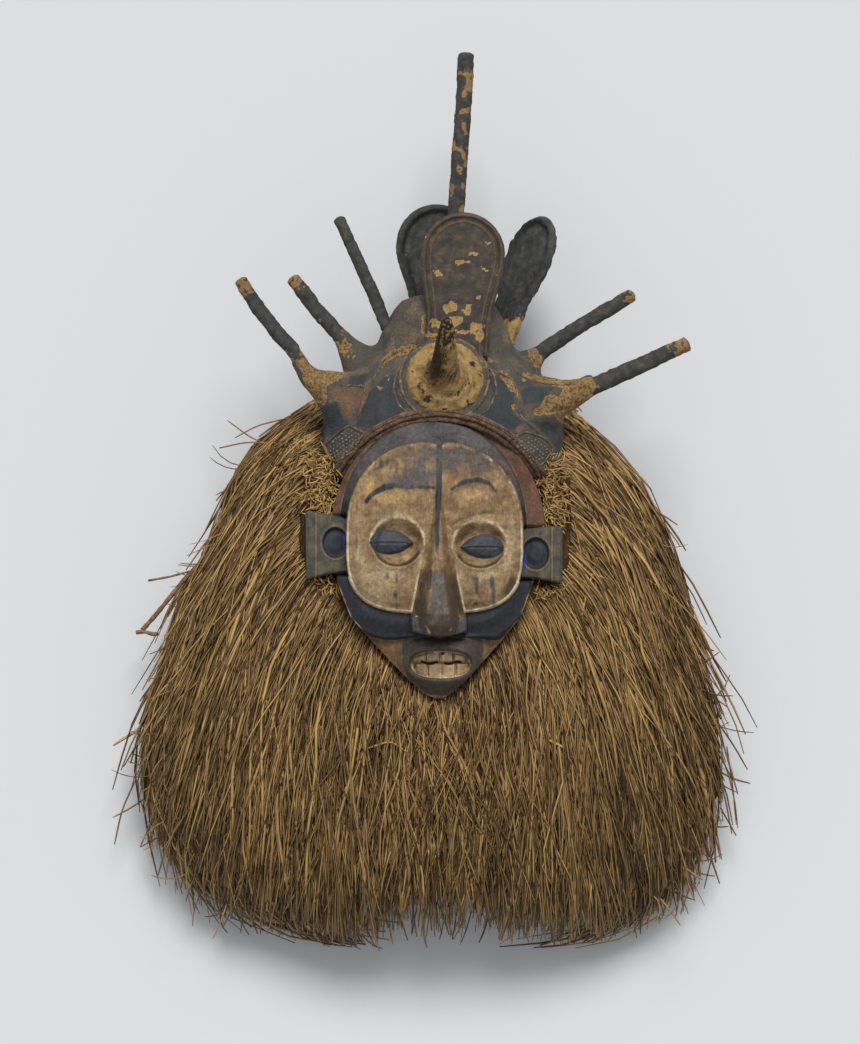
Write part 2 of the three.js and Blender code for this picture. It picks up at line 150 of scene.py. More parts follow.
def jaw_beyond(x, y):
    lobes = [
        (-44, -110, 22, 12, -2.2), (49, -110, 20, 12, -2.2), (51, -112, 9, 6, -3), (3, -112, 26, 14, 3.5)
    ]
    return beyond_egg(x, y, *JAW) + hills(x, y, lobes)


def nose_width(y):
    heights = [-108, -104, -93, -88, -70, -52, -34, -14, 8]
    return np.interp(y, heights, [16, 21.5, 22.3, 20.2, 16.8, 13.2, 9.6, 7, 3])


def nose_middle(y):
    return np.interp(y, [-108, -88, -60, -30, 8], [4.6, 3.2, 2.9, 3.5, 3.6])


def nose_foot(off):
    """The curved lower edge of the nose; off is the share of its half width from its middle."""
    return -108.9 + 5.2 * off**1.3


def tooth_slots(x, y, wide, tall):
    """The two dark slots between the rows of teeth; wide and tall are where their edges begin and end."""
    return (
        step(*wide, np.abs(np.abs(x - 5.6) - 9.2)) * step(*tall, np.abs(y + 128 - 0.7 * np.sin(0.42 * x)))
    )


def face_height(x, y):
    """Height of the carving above the floor at each place."""
    side = np.clip(np.abs(x - AXIS_X) / 84, 0, 1.1)
    z = 173 - 14 * side**2 - 10 * np.clip((-y - 100) / 56, 0, 1) ** 1.5
    z = z + 1.2 * noise3(np.stack([x, y, 0 * x], 1), 30, 1) + 4.5 * step(5, 35, y)
    bonnet = beyond_egg(x, y, *BONNET)
    bonnet_top = 181 + 4 * step(0, -14, bonnet) - 12 * step(22, -14, y) + 3.5 * step(20, 46, y)
    z = z + (bonnet_top - z) * step(0.6, -2.2, bonnet) * step(-66, -56, y)
    jaw = jaw_beyond(x, y)
    z = z + (178 + 6 * step(0, -16, jaw) - z) * step(0.8, -2.4, jaw) * step(-24, -40, y)
    by_ear = np.where(
        x < 0, step(-61, -59.6, y) * step(-11, -12.4, y), step(-65, -63.6, y) * step(-20, -21.4, y)
    )
    z = z + (157 - z) * by_ear * step(60, 61, np.abs(x))

    mouth = beyond_egg(x, y, *MOUTH)
    lips = beyond_egg(x, y, *TEETH)
    rise = 14 * step(2, -16, mouth) + 5 * np.exp(-((lips - 3) / 4.5) ** 2)
    z = z + rise * step(-104, -112, y)
    z = z - 9 * step(0.8, -1.4, lips)
    across = (x - 5.3) / 10.6
    row = np.where(y > -128.2, 1, -1)
    shifted = across + 0.09 * row + 0.05 * np.sin(3.1 * x)
    near_gap = np.abs(shifted - np.round(shifted)) * 10.6
    arch = np.sqrt(np.clip(1 - ((x - 5.3) / 24.6) ** 2, 0, 1)) * 10.6
    tooth = (
        step(0.1, 1.0, near_gap) * step(0.2, 1.3, np.abs(y + 128.2))
        * step(arch + 0.5, arch - 1.4, np.abs(y + 129.4))
    )
    slots = tooth_slots(x, y, (7.4, 5.4), (1.7, 0.5))
    z = z + np.where(lips < 0.5, tooth * (5.2 + 1.0 * row) * (1 - slots), 0)

    plate = plate_beyond(x, y)
    share = 1 + plate / 70
    top = 199 - 11 * np.clip(share, 0, 1.05) ** 2.6
    forehead, cheeks = (3, 20, 40, 20, 2.5), [(-44, -66, 16, 18, 2.2), (47, -66, 15, 18, 2.2)]
    hollows = [(-30, -22, 24, 17, -3.2), (37, -24, 24, 17, -3.2)]
    top = top - 0.25 * np.exp(-(((plate + 5.2) / 2.2) ** 2)) + hills(x, y, [forehead] + cheeks + hollows)
    fold, _ = along_line(x, y, BROW_FOLD)
    top = top - 0.9 * np.exp(-((fold / 1.6) ** 2))
    for eye in EYES:
        socket = np.hypot((x - eye["x"]) / eye["wide"], (y - eye["y"]) / eye["tall"])
        ring = (socket - 1) * 20
        bowl = step(1.03, 0.62, socket) * (1 - 0.62 * step(3, 16, y - eye["y"]))
        top = top + 1.0 * np.exp(-((ring / 2.1) ** 2)) - 8.5 * bowl
        lid = lid_share(x, y, eye)
        top = top + 8.2 * np.sqrt(np.clip(lid, 0, 1)) * step(-0.02, 0.12, lid) * step(1.06, 0.84, socket)
        mid = (eye["low"] + eye["high"]) / 2
        inner = step(14.5, 11.5, np.abs(x - mid))
        top = top - 2.0 * np.exp(-(((y - eye["slit"]) / 0.7) ** 2)) * inner
        top = top - 1.2 * step(0.3, -0.3, y - eye["slit"]) * step(0, 0.1, lid)
    chips = [(32.6, -82.5, 1.5, 2.0, -2.2), (-30.6, -75.5, 1.2, 3.4, -2.0)]
    z = z + (top + hills(x, y, chips) - z) * step(0.9, -1.7, plate)

    off = np.abs(x - nose_middle(y)) / nose_width(y)
    down_ridge = [-108.5, -106, -98, -89, -86, -70, -48, -20, 14]
    crest = np.interp(y, down_ridge, [194, 212, 224, 228, 227.5, 218, 211, 205, 199])
    flank = np.interp(y, [-108, -94, -88, -60, -20, 14], [186, 190, 192, 193, 195, 197])
    facet = np.interp(y, [-108, -88, -70, -20], [0.16, 0.42, 0.34, 0.25])
    nose = flank + (crest - flank) * (1 - step(facet, 1.02, off) ** 0.85)
    wing = 203 - 3 * step(-96, -106, y)
    nose = np.maximum(nose, np.where(y < -88, wing - 30 * np.clip(off - 0.72, 0, 1) ** 1.4, 0))
    foot = nose_foot(off)
    inside = step(1.05, 0.93, off) * step(foot, foot + 1.6, y) * step(14, 4, y)
    z = np.where(inside > 0, np.maximum(z, z + (nose - z) * inside), z)

    spots = np.stack([x, y, z * 0], 1)
    return (
        z + 0.35 * noise3(spots * [1, 0.35, 1], 3.5, 2) + 0.3 * noise3(spots, 9, 3)
        + 0.12 * noise3(spots * [1, 0.25, 1], 1.3, 4)
    )


def carved_slab(bm, columns, rows, place, walls):
    """A grid moved by place(u, v) to the front of a carving, closed by rings at its back.

    walls lists (height, share) of each ring behind the front; a share under 1 pulls it inward."""
    made = bmesh.ops.create_grid(bm, x_segments=columns, y_segments=rows, size=1)["verts"]
    uv = np.array([v.co[:2] for v in made])
    for vert, co in zip(made, place(uv[:, 0], uv[:, 1])):
        vert.co = co
    ring = [e for v in made for e in v.link_edges if e.is_boundary]
    ring = list(set(ring))
    centre = np.mean([v.co for e in ring for v in e.verts], axis=0)
    for height, share in walls:
        grown = bmesh.ops.extrude_edge_only(bm, edges=ring)["geom"]
        verts = [g for g in grown if isinstance(g, bmesh.types.BMVert)]
        ring = [g for g in grown if isinstance(g, bmesh.types.BMEdge) and g.is_boundary]
        for v in verts:
            v.co = Vector((*(centre[:2] + (np.array(v.co[:2]) - centre[:2]) * share), height))
    bmesh.ops.holes_fill(bm, edges=ring, sides=0)


def face_place(u, v):
    up_share = (v + 1) / 2
    low = up_share < 0.62
    below = CHIN_Y + (ROUND_Y - CHIN_Y) * (up_share / 0.62)
    above = ROUND_Y + 88 * np.sin((up_share - 0.62) / 0.38 * math.pi / 2)
    y = np.where(low, below, above)
    half = np.sqrt(np.clip(HEAD_RADIUS**2 - (y - ROUND_Y) ** 2, 4, None)) * 0.955
    left = np.where(low, np.interp(y, SIDE_Y, SIDE_LEFT), AXIS_X - half)
    right = np.where(low, np.interp(y, SIDE_Y, SIDE_RIGHT), AXIS_X + half)
    x = left + (right - left) * (u + 1) / 2
    return np.stack([x, y, face_height(x, y)], 1)


def finish_mesh(bm, name, smooth=True):
    """A mesh object in metres from a bmesh in millimetres, its faces turned outward."""
    bmesh.ops.recalc_face_normals(bm, faces=bm.faces)
    mesh = bpy.data.meshes.new(name)
    bm.to_mesh(mesh)
    bm.free()
    mesh.transform(Matrix.Scale(MM, 4))
    mesh.shade_smooth() if smooth else mesh.shade_flat()
    obj = bpy.data.objects.new(name, mesh)
    bpy.context.scene.collection.objects.link(obj)
    return obj


def places(obj):
    """Every vertex of the piece, in millimetres, as an array."""
    flat = np.empty(len(obj.data.vertices) * 3)
    obj.data.vertices.foreach_get("co", flat)
    return flat.reshape(-1, 3) / MM


def mark(obj, name, values):
    """Keeps one number for each vertex on the piece, for its material to read."""
    layer = obj.data.attributes.new(name, "FLOAT", "POINT")
    layer.data.foreach_set("value", np.asarray(values, dtype=np.float32))


def hexed(code):
    """Linear colour from an sRGB hex code."""
    parts = [int(code[k:k + 2], 16) / 255 for k in (1, 3, 5)]
    return [c / 12.92 if c <= 0.04045 else ((c + 0.055) / 1.055) ** 2.4 for c in parts] + [1]


def add(tree, kind, links=None, **settings):
    """Adds a node with its settings, and links or sets its inputs."""
    made = tree.nodes.new(kind)
    for key, value in settings.items():
        setattr(made, key, value)
    for socket, source in (links or {}).items():
        if isinstance(source, bpy.types.NodeSocket):
            tree.links.new(source, made.inputs[socket])
        else:
            made.inputs[socket].default_value = source
    return made


def new_finish(name):
    """An empty material with its output and shader, and the object's coordinates in millimetres."""
    material = bpy.data.materials.new(name)
    material.use_nodes = True
    tree = material.node_tree
    tree.nodes.clear()
    shader = add(tree, "ShaderNodeBsdfPrincipled")
    add(tree, "ShaderNodeOutputMaterial", {"Surface": shader.outputs[0]})
    at = add(tree, "ShaderNodeTexCoord").outputs["Object"]
    at = add(tree, "ShaderNodeVectorMath", {0: at, 1: (1000, 1000, 1000)}, operation="MULTIPLY").outputs[0]
    return material, tree, shader, at


def ramp(tree, value, stops):
    """A colour that runs through the stops, each (place from 0 to 1, hex code)."""
    made = add(tree, "ShaderNodeValToRGB", {"Fac": value})
    for k, (spot, code) in enumerate(stops):
        stop = made.color_ramp.elements[k] if k < 2 else made.color_ramp.elements.new(spot)
        stop.position = spot
        stop.color = hexed(code)
    return made.outputs[0]


def coats(tree, colour, speck, blotch, layers):
    """Paint layers over a colour, each (mask, hex code, mask at its start, mask when full, broken edge)."""
    tint = add(tree, "ShaderNodeMath", {0: speck, 1: 0.7, 2: blotch}, operation="MULTIPLY_ADD").outputs[0]
    tint = add(
        tree, "ShaderNodeMapRange",
        {"Value": tint, "From Min": 0.6, "From Max": 1.1, "To Min": 0.62, "To Max": 1.36},
    )
    for name, code, low, high, rough in layers:
        mask = add(tree, "ShaderNodeAttribute", attribute_name=name).outputs["Fac"]
        broken = add(tree, "ShaderNodeMath", {0: speck, 1: rough}, operation="MULTIPLY").outputs[0]
        broken = add(tree, "ShaderNodeMath", {0: mask, 1: broken}, operation="ADD").outputs[0]
        ends = {"Value": broken, "From Min": low + rough / 2, "From Max": high + rough / 2}
        amount = add(tree, "ShaderNodeMapRange", ends, interpolation_type="SMOOTHSTEP").outputs[0]
        layer = add(
            tree, "ShaderNodeVectorMath", {0: hexed(code)[:3], 1: tint.outputs[0]}, operation="MULTIPLY"
        ).outputs[0]
        ends = {"Fac": amount, "Color1": colour, "Color2": layer}
        colour = add(tree, "ShaderNodeMixRGB", ends).outputs[0]
    return colour


def dappled(tree, colour, value, low, high, dark, light):
    """The colour times an amount that runs from dark to light as the value runs from low to high."""
    ends = {"Value": value, "From Min": low, "From Max": high, "To Min": dark, "To Max": light}
    amount = add(tree, "ShaderNodeMapRange", ends).outputs[0]
    return add(tree, "ShaderNodeVectorMath", {0: colour, 1: amount}, operation="MULTIPLY").outputs[0]


def finished(tree, shader, colour, roughness, gloss=0.5, relief=None, strength=1.0, deep=0.001):
    """Gives the shader its colour, roughness and gloss, and a fine relief, this many metres deep."""
    tree.links.new(colour, shader.inputs["Base Color"])
    shader.inputs["Roughness"].default_value = roughness
    shader.inputs["Specular IOR Level"].default_value = gloss
    if relief is not None:
        bump = add(tree, "ShaderNodeBump", {"Height": relief, "Strength": strength, "Distance": deep})
        tree.links.new(bump.outputs[0], shader.inputs["Normal"])


FACE_GRID = (222, 284)
FACE_WALLS = [(150, 1.0), (128, 1.0), (128, 0.84), (142, 0.8), (156, 0.6), (160, 0.3)]
face_bm = bmesh.new()
carved_slab(face_bm, *FACE_GRID, face_place, FACE_WALLS)
face = finish_mesh(face_bm, "carved_face")

p = places(face)
fx, fy, fz = p.T
front = fz > 140
wander = noise3(p, 5, 11)
fine = noise3(p, 1.6, 12)
brushed = noise3(p * [1, 0.13, 0.3], 1.2, 13)
cloudy = noise3(p, 13, 14)
mottled = noise3(p * [1, 0.7, 1], 6.5, 19) + 0.7 * noise3(p * [1, 0.45, 1], 2.4, 20)
plate_d = plate_beyond(fx, fy)
jaw_d = jaw_beyond(fx, fy)
bonnet_d = beyond_egg(fx, fy, *BONNET)
teeth_d = beyond_egg(fx, fy, *TEETH)
nose_off = np.abs(fx - nose_middle(fy)) / nose_width(fy)
in_plate = step(0.4, -0.6, plate_d)
on_nose = step(1.04, 0.96, nose_off) * (fy < 6) * (fy > nose_foot(nose_off))
on_bonnet = step(0.8, -0.4, bonnet_d) * (fy > -58)
on_jaw = step(0.8, -0.4, jaw_d) * (fy < -30)
band = np.maximum(on_bonnet, on_jaw) * (1 - in_plate) * (1 - on_nose)
side_x = np.where(fx < 0, np.interp(fy, SIDE_Y, SIDE_LEFT), np.interp(fy, SIDE_Y, SIDE_RIGHT))
jaw_edge = np.exp(-(((fx - side_x) / 1.3) ** 2)) * step(-60, -66, fy) * np.clip(0.7 + 0.6 * wander, 0, 1)
band = band * (1 - 0.9 * jaw_edge)
lid_mask = np.zeros(len(p))
sockets = []
for eye in EYES:
    lid_mask = np.maximum(lid_mask, step(-0.12, 0.02, lid_share(fx, fy, eye)))
    sockets.append(np.hypot((fx - eye["x"]) / eye["wide"], (fy - eye["y"]) / eye["tall"]))

# Blue-black: the bonnet and jaw, the stripe and brows, which are brushed thin, and the nose's side facets.
STRIPE = [(4.2, 46), (3.6, 8), (2.4, -22), (2.2, -40), (3.4, -62), (3.2, -88)]
BROWS = [
    ([(-53, -1.5), (-47, 5.6), (-39, 9.4), (-30, 11.4), (-14, 10.6), (1, 9)], 2.3),
    ([(14, 8), (20, 12), (27, 14.6), (36, 15), (43, 12.4), (48, 6.6)], 1.8),
]
stripe, _ = along_line(fx, fy, STRIPE)
stripe_half = np.interp(fy, [-60, -35, -10, 10, 30, 46], [1.0, 1.7, 2.0, 2.6, 2.7, 2.2])
stroke = step(stripe_half + 1.3, stripe_half - 0.9, stripe + 0.35 * wander) * step(-60, -26, fy)
stroke = stroke * (0.82 + 0.2 * brushed)
for line, half in BROWS:
    brow, brow_at = along_line(fx, fy, line)
    thick = half * (0.35 + 0.8 * np.sin(np.clip(brow_at, 0.05, 0.95) * math.pi) ** 0.6)
    brow_mask = step(thick + 2.3, thick - 1.5, brow + 0.4 * wander) * (0.84 + 0.25 * brushed)
    stroke = np.maximum(stroke, brow_mask)
wing = on_nose * step(0.5, 0.62, nose_off - 0.012 * (fy + 92)) * step(-90.5, -92.5, fy)
under_nose = on_nose * step(-104, -107, fy)
by_nose = np.maximum(wing, under_nose) * (1 - 0.3 * brushed)
mark(face, "blue_black", np.maximum(np.maximum(band, stroke), by_nose))
mark(face, "lid", lid_mask)
lower_lid = 0.0 * fx
for eye in EYES:
    near = np.abs(fx - eye["x"]) < 24
    under_slit = fy - eye["slit"]
    edge = step(0.6, 0.1, lid_share(fx, fy, eye)) * step(-3, -6, under_slit) * near
    lower_lid = np.maximum(lower_lid, lid_mask * (0.28 * step(0.5, -3, under_slit) * near + 0.35 * edge))
ear_blue = hump(fx, fy, -70.5, -34, 3, 6) + hump(fx, fy, 71, -48, 2.6, 6)
mark(face, "cobalt", np.maximum(lower_lid, ear_blue) + 0.3 * band * step(0.1, 0.9, cloudy) * (fy < -50))

# Slate smears: washed soot over the forehead, at the tear marks and down the ridge of the nose; the slate
# on the nostril wings is a painted reflection.
FOREHEAD_SMEARS = [
    (-12, 19, 14, 11, 1.4), (15, 25, 11, 8, 0.8), (-26, 14, 15, 5, 0.9), (40, 24, 13, 9, 0.7),
    (-8, 36, 26, 7, 0.75), (26, 36, 16, 8, 0.6),
]
TEAR_MARKS = [
    (-36.5, -59, 2.76, 5, 1.05), (-29.5, -62, 2.07, 7, 0.98), (-30.2, -76, 2.07, 4.5, 1.19),
    (-29.5, -84, 2.07, 5, 0.7), (31.6, -62, 3.68, 6, 1.12), (33.5, -70, 2.3, 7, 0.91),
    (32.6, -82.5, 2.185, 2.2, 1.68), (45, -64, 2.53, 7, 1.05), (46.5, -76, 2.3, 9, 1.19),
]
smear_and_sheen = hills(fx, fy, FOREHEAD_SMEARS) * (1 + 0.4 * mottled) + hills(fx, fy, TEAR_MARKS)
ridge = step(0.78, 0.3, nose_off) * step(-50, -64, fy) * step(-105, -97, fy)
smear_and_sheen = smear_and_sheen + ridge * (0.86 + 0.25 * cloudy + 0.4 * np.exp(-(((fx - nose_middle(fy)) / 1.6) ** 2)))
# Slate on the nostril wings: a painted reflection.
smear_and_sheen = smear_and_sheen + 1.6 * wing * (0.9 + 0.3 * cloudy)
rubbed_bonnet = band * step(-14, 0, fy) * (0.85 + 0.3 * cloudy + 0.1 * fine)
smear_and_sheen = smear_and_sheen * (0.9 + 0.25 * brushed + 0.25 * fine)
mark(face, "slate", np.clip(np.maximum(smear_and_sheen, rubbed_bonnet), 0, 1.2) * (1 - lid_mask))

# Kaolin: a broad pale band on the rim of the plate, thin ones round the sockets and along the nose, and
# pale dabs; the two dabs at the tops of the sockets are painted light.
rim = step(0.6, -0.6, plate_d) * step(-4.2, -2.0, plate_d) * (1 - on_nose * (fy < -60))
PALE_DABS_AND_LIGHT = [
    (-34, -59, 20, 5, 0.5), (-58, -44, 7, 18, 0.42), (-10, -44, 4, 13, 0.55), (-16, -74, 6, 14, 0.3),
    # The dabs at (-30, -17) and (37, -19) lighten the tops of the sockets: painted light.
    (-30, -17, 14, 4, 0.4), (37, -19, 14, 4, 0.4), (56, -50, 8, 14, 0.5), (38, -60, 14, 5, 0.5),
    (16, -40, 4, 12, 0.45), (22, -70, 4, 14, 0.42), (-30, -84, 12, 6, 0.12), (-63, -10, 4, 12, 0.3),
]
rim = rim * np.clip(0.42 + 0.55 * step(10, -40, fy) + 0.22 * wander + 0.25 * fine, 0, 1.2)
pale = rim * step(178, 183, fz) * (0.75 + 0.25 * (np.abs(fx) > 20))
for eye, socket in zip(EYES, sockets):
    low_side = 1 - 0.5 * step(-4, -14, fy - eye["y"])
    round_socket = np.exp(-((((socket - 1) * 20 - 0.8) / 1.8) ** 2))
    pale = np.maximum(pale, round_socket * (0.55 + 0.35 * wander + 0.2 * fine) * low_side)
nose_line = np.exp(-(((nose_off - 1.04) * nose_width(fy) / 1.1) ** 2))
pale = np.maximum(pale, 0.9 * nose_line * step(-50, -62, fy) * step(-94, -90, fy))
broken = 1 + 0.3 * cloudy + 0.3 * brushed - 0.3 * mottled
pale = np.maximum(pale, highest(fx, fy, PALE_DABS_AND_LIGHT) * broken)
ridge_l, _ = along_line(fx, fy, [(-13.6, -92), (-9.5, -95.4), (-6.6, -99.6), (-4.2, -103.6)])
ridge_r, _ = along_line(fx, fy, [(20, -91.6), (15.6, -96.4), (12.6, -102)])
ridges = np.maximum(step(2.3, 0.5, ridge_l), 0.6 * step(1.5, 0.4, ridge_r))
pale = np.maximum(pale * np.maximum(in_plate, on_nose), ridges) * (1 - lid_mask)
mark(face, "pale", np.maximum(pale, 0.6 * jaw_edge))
BEIGE_PLACES = [
    (-40, -66, 27, 25, 0.95), (40, -62, 20, 18, 0.85), (-60, -30, 9, 30, 0.8), (60, -34, 8, 26, 0.9),
    # The places at (-30, -14) and (38, -16) lighten the tops of the sockets: painted light.
    (-12, -56, 7, 26, 0.8), (18, -56, 7, 26, 0.8), (-30, -14, 17, 7, 0.95), (38, -16, 16, 6, 0.95),
    (-40, 26, 16, 10, 0.5), (34, 34, 18, 8, 0.1),
]
beige = highest(fx, fy, BEIGE_PLACES) * (1 + 0.25 * cloudy + 0.2 * mottled + 0.12 * brushed)
mark(face, "beige", beige * in_plate * (1 - lid_mask) * (1 - 0.7 * on_nose))

# Rubbed bare gold between brow and eye, worn brown where the paint has gone, darker along a line inside the
# plate's rim, and painted shade in the crease under the right brow and inside the lower rim of each socket.
GOLD_PLACES = [
    (-34, 2, 20, 8, 0.9), (30, 3, 20, 7, 0.7), (-16, 34, 14, 7, 0.2), (-22, -46, 7, 3.4, 0.8),
    (30, -50, 9, 2.6, 0.7), (5, -100, 5, 3.5, 0.8), (-50, 13, 7, 10, 0.8), (-36, 23, 7, 5, 0.4),
]
WORN_AND_SHADED_PLACES = [
    # The thin place at (38, -7) is painted shade under the right brow.
    (61, -70, 8, 20, 0.9), (38, -7, 22, 3, 0.5), (-60.5, -32, 1.2, 9, 0.9), (14, 18, 3, 6, 0.5),
    (34, 28, 22, 12, 0.45),
]
RUST_PLACES = [(14, 17, 3.5, 6, 0.9), (6, -99, 4, 5, 0.8), (39, -75, 8, 12, 0.6)]
gold = hills(fx, fy, GOLD_PLACES) * (1 + 0.25 * brushed + 0.45 * mottled)
mark(face, "gold", np.clip(gold, 0, 1))
mouth = step(2.2, -1.5, beyond_egg(fx, fy, *MOUTH) + 0.9 * wander) * (fy < -100)
mouth = mouth * (1 - on_jaw) * (1 - on_nose)
chin_side = (1 - mouth) * (1 - on_jaw) * (fy < -104) * (1 - on_nose)
fold, _ = along_line(fx, fy, BROW_FOLD)
worn = 0.7 * chin_side + 0.46 * step(8, 34, fy) + 0.2 * step(-74, -84, fy) * in_plate
worn = worn + on_nose * step(-46, -62, fy) + hills(fx, fy, WORN_AND_SHADED_PLACES)
worn = worn + (0.22 + 0.14 * step(0, 20, fy)) * step(0.05, 0.85, mottled) * in_plate
worn = worn + 0.35 * np.exp(-(((plate_d + 6.6) / 2.6) ** 2)) * in_plate * (1 + 0.7 * cloudy)
# Painted shade along the crease under the right brow.
worn = worn + 0.7 * np.exp(-((fold / 1.7) ** 2))
# Painted shade inside the lower rim of each socket.
for eye, socket in zip(EYES, sockets):
    low_rim = step(0.78, 0.93, socket) * step(1.0, 0.95, socket) * step(-2, -9, fy - eye["y"])
    worn = worn + 1.3 * low_rim - 0.4 * step(0.7, 0.5, socket) * step(-6, -10, fy - eye["y"])
worn = worn * (1 + 0.5 * cloudy + 0.28 * brushed)
mark(face, "wear_and_shade", np.clip(worn, 0, 1.3))
mark(face, "rust", np.clip(hills(fx, fy, RUST_PLACES) + 0.55 * chin_side, 0, 1))

mark(face, "mouth", mouth)
tooth_mask = step(0.4, -0.8, teeth_d)
mark(face, "teeth", tooth_mask)
tooth_light = np.exp(-(((teeth_d + 1.6) / 1.3) ** 2)) * (0.75 + 0.35 * step(-126, -132, fy))
tooth_light = tooth_light + 0.55 * np.exp(-(((fx - 5.6) / 1.1) ** 2)) * (fy < -125)
mark(face, "tooth_light", tooth_mask * np.clip(tooth_light + 0.3 * fine, 0, 1))
# Near black in the slots between the rows of teeth and in a spot at their top: painted shade in the mouth's
# gaps.
tooth_dark = tooth_slots(fx, fy, (8.2, 5.6), (1.5, 0.4))
mark(face, "tooth_dark", tooth_mask * np.maximum(tooth_dark, 0.8 * hump(fx, fy, 6.6, -120.5, 2.2, 1.8)))
red = (1 - in_plate) * step(0.2, 1.4, bonnet_d) * step(-32, -24, fy) * np.clip(0.85 + 0.4 * wander, 0, 1)
red = np.maximum(red, 0.75 * mouth * (hump(fx, fy, -11, -113, 13, 4.5) + hump(fx, fy, 31, -111, 9, 6)))
mark(face, "red", np.maximum(red, 0.42 * chin_side * np.clip(0.8 + 0.5 * wander, 0, 1)))
mark(face, "hidden", np.where(front, 0, 1) * step(151, 139, fz))

# Painted wood: matte ochre earth paint over fine straight grain, blue-black soot and washing blue on
# the bonnet, jaw and lids, kaolin left on the edges, and a little polish where hands have been.
wood, tree, shader, at = new_finish("earth-painted light wood")
stretched = add(tree, "ShaderNodeMapping", {"Vector": at, "Scale": (1, 0.12, 0.5)}).outputs[0]
grain = add(
    tree, "ShaderNodeTexNoise", {"Vector": stretched, "Scale": 1.1, "Detail": 5, "Roughness": 0.65}
).outputs[0]
blotch = add(
    tree, "ShaderNodeTexNoise", {"Vector": at, "Scale": 0.11, "Detail": 6, "Roughness": 0.62}
).outputs[0]
speck = add(
    tree, "ShaderNodeTexNoise", {"Vector": at, "Scale": 0.9, "Detail": 3, "Roughness": 0.7}
).outputs[0]
colour = ramp(tree, blotch, [(0.3, "#644c33"), (0.5, "#84694a"), (0.72, "#a08661")])
colour = dappled(tree, colour, grain, 0.35, 0.66, 0.74, 1.14)
dabs = add(
    tree, "ShaderNodeTexNoise", {"Vector": at, "Scale": 0.32, "Detail": 5, "Roughness": 0.7}
).outputs[0]
WOOD_COATS = [
    ("gold", "#a88a5b", 0.25, 1.0, 0.4), ("beige", "#9c8565", 0.15, 1.0, 0.2),
    ("wear_and_shade", "#4b3a29", 0.2, 1.2, 0.6), ("rust", "#85552f", 0.35, 1.0, 0.5),
    ("pale", "#c2b294", 0.25, 0.95, 0.4), ("red", "#614434", 0.2, 0.75, 0.3),
    ("mouth", "#4b4139", 0.2, 0.75, 0.25), ("blue_black", "#2a2b30", 0.25, 0.85, 0.5),
    ("slate", "#544e4a", 0.35, 1.1, 0.5), ("teeth", "#a18864", 0.3, 0.7, 0.2),
    ("tooth_light", "#c3b495", 0.3, 0.9, 0.3), ("tooth_dark", "#17130f", 0.3, 0.7, 0.2),
    ("lid", "#3e4147", 0.3, 0.7, 0.2), ("cobalt", "#262d4e", 0.4, 1.0, 0.5),
    ("hidden", "#7c5c3c", 0.2, 0.8, 0.1),
]
colour = dappled(tree, coats(tree, colour, speck, blotch, WOOD_COATS), dabs, 0.38, 0.62, 0.74, 1.2)
relief = add(tree, "ShaderNodeMath", {0: grain, 1: speck}, operation="ADD").outputs[0]
finished(tree, shader, colour, 0.58, 0.3, relief, 0.45, 0.0007)
face.data.materials.append(wood)


# The ears are flat blocks left standing at each side of the face, with a raised line near the outer edge
# and a sunk slate oval. Their paint has weathered to grey-green.
EARS = [
    {
        "side": -1, "inner": -63, "outer": -101, "top": (-15.5, -8.2), "bottom": (-57.4, -63.4),
        "oval": (-77.6, -34, 10, 12),
    },
    {
        "side": 1, "inner": 63, "outer": 101.2, "top": (-23.6, -20.4), "bottom": (-62.4, -66.4),
        "oval": (80, -42.4, 10.4, 12.4),
    },
]


def ear_place(ear):
    def place(u, v):
        share = (u + 1) / 2
        out = np.abs(ear["inner"] + (ear["outer"] - ear["inner"]) * share)
        rounding = 2.2 * np.clip((share - 0.9) / 0.1, 0, 1) ** 2
        top = ear["top"][0] + (ear["top"][1] - ear["top"][0]) * share - rounding
        bottom = ear["bottom"][0] + (ear["bottom"][1] - ear["bottom"][0]) * share
        bottom = bottom + rounding + 1.6 * np.sin(share * math.pi)
        y = bottom + (top - bottom) * (v + 1) / 2
        x = ear["side"] * out
        edge = np.minimum(np.minimum(top - y, y - bottom), (1 - share) * 38)
        z = 163.5 + 4.6 * step(66, 92, out) - 3.2 * step(92.4, 101, out)
        z = z + 0.9 * np.exp(-(((out - 92.6) / 0.9) ** 2))
        z = z - 2.6 * np.clip(1 - edge / 2.2, 0, 1) ** 2
        cx, cy, wide, tall = ear["oval"]
        ring = (np.hypot((x - cx) / wide, (y - cy) / tall) - 1) * 11
        z = z - 4.2 * step(0.4, -1.2, ring) + 1.6 * step(-2.0, -7, ring)
        z = z + 0.5 * np.exp(-(((ring - 1.2) / 0.9) ** 2))
        spots = np.stack([x, y, 0 * x], 1)
        z = z + 0.3 * noise3(spots * [1, 0.3, 1], 2.4, 15) + 0.4 * noise3(spots, 10, 16)
        return np.stack([x, y, z], 1)
    return place


ears_bm = bmesh.new()
for ear in EARS:
    carved_slab(ears_bm, 56, 70, ear_place(ear), [(150.2, 0.99), (150.2, 0.5)])
ears = finish_mesh(ears_bm, "carved_ears")
p = places(ears)
ex, ey, ez = p.T
rough = noise3(p, 6, 17) + 0.6 * noise3(p * [1, 0.3, 1], 1.6, 18)
oval_mask = np.zeros(len(p))
oval_line = np.zeros(len(p))
for ear in EARS:
    cx, cy, wide, tall = ear["oval"]
    ring = (np.hypot((ex - cx) / wide, (ey - cy) / tall) - 1) * 11
    oval_mask = np.maximum(oval_mask, step(0.3, -0.5, ring))
    oval_line = np.maximum(oval_line, np.exp(-(((ring - 1.0) / 1.0) ** 2)))
dark = np.maximum(0.9 * oval_mask, 0.45 * step(0.2, 0.9, rough)) + 0.9 * step(160, 156, ez)
raised_line = 0.95 * np.exp(-(((np.abs(ex) - 92.8) / 0.9) ** 2))
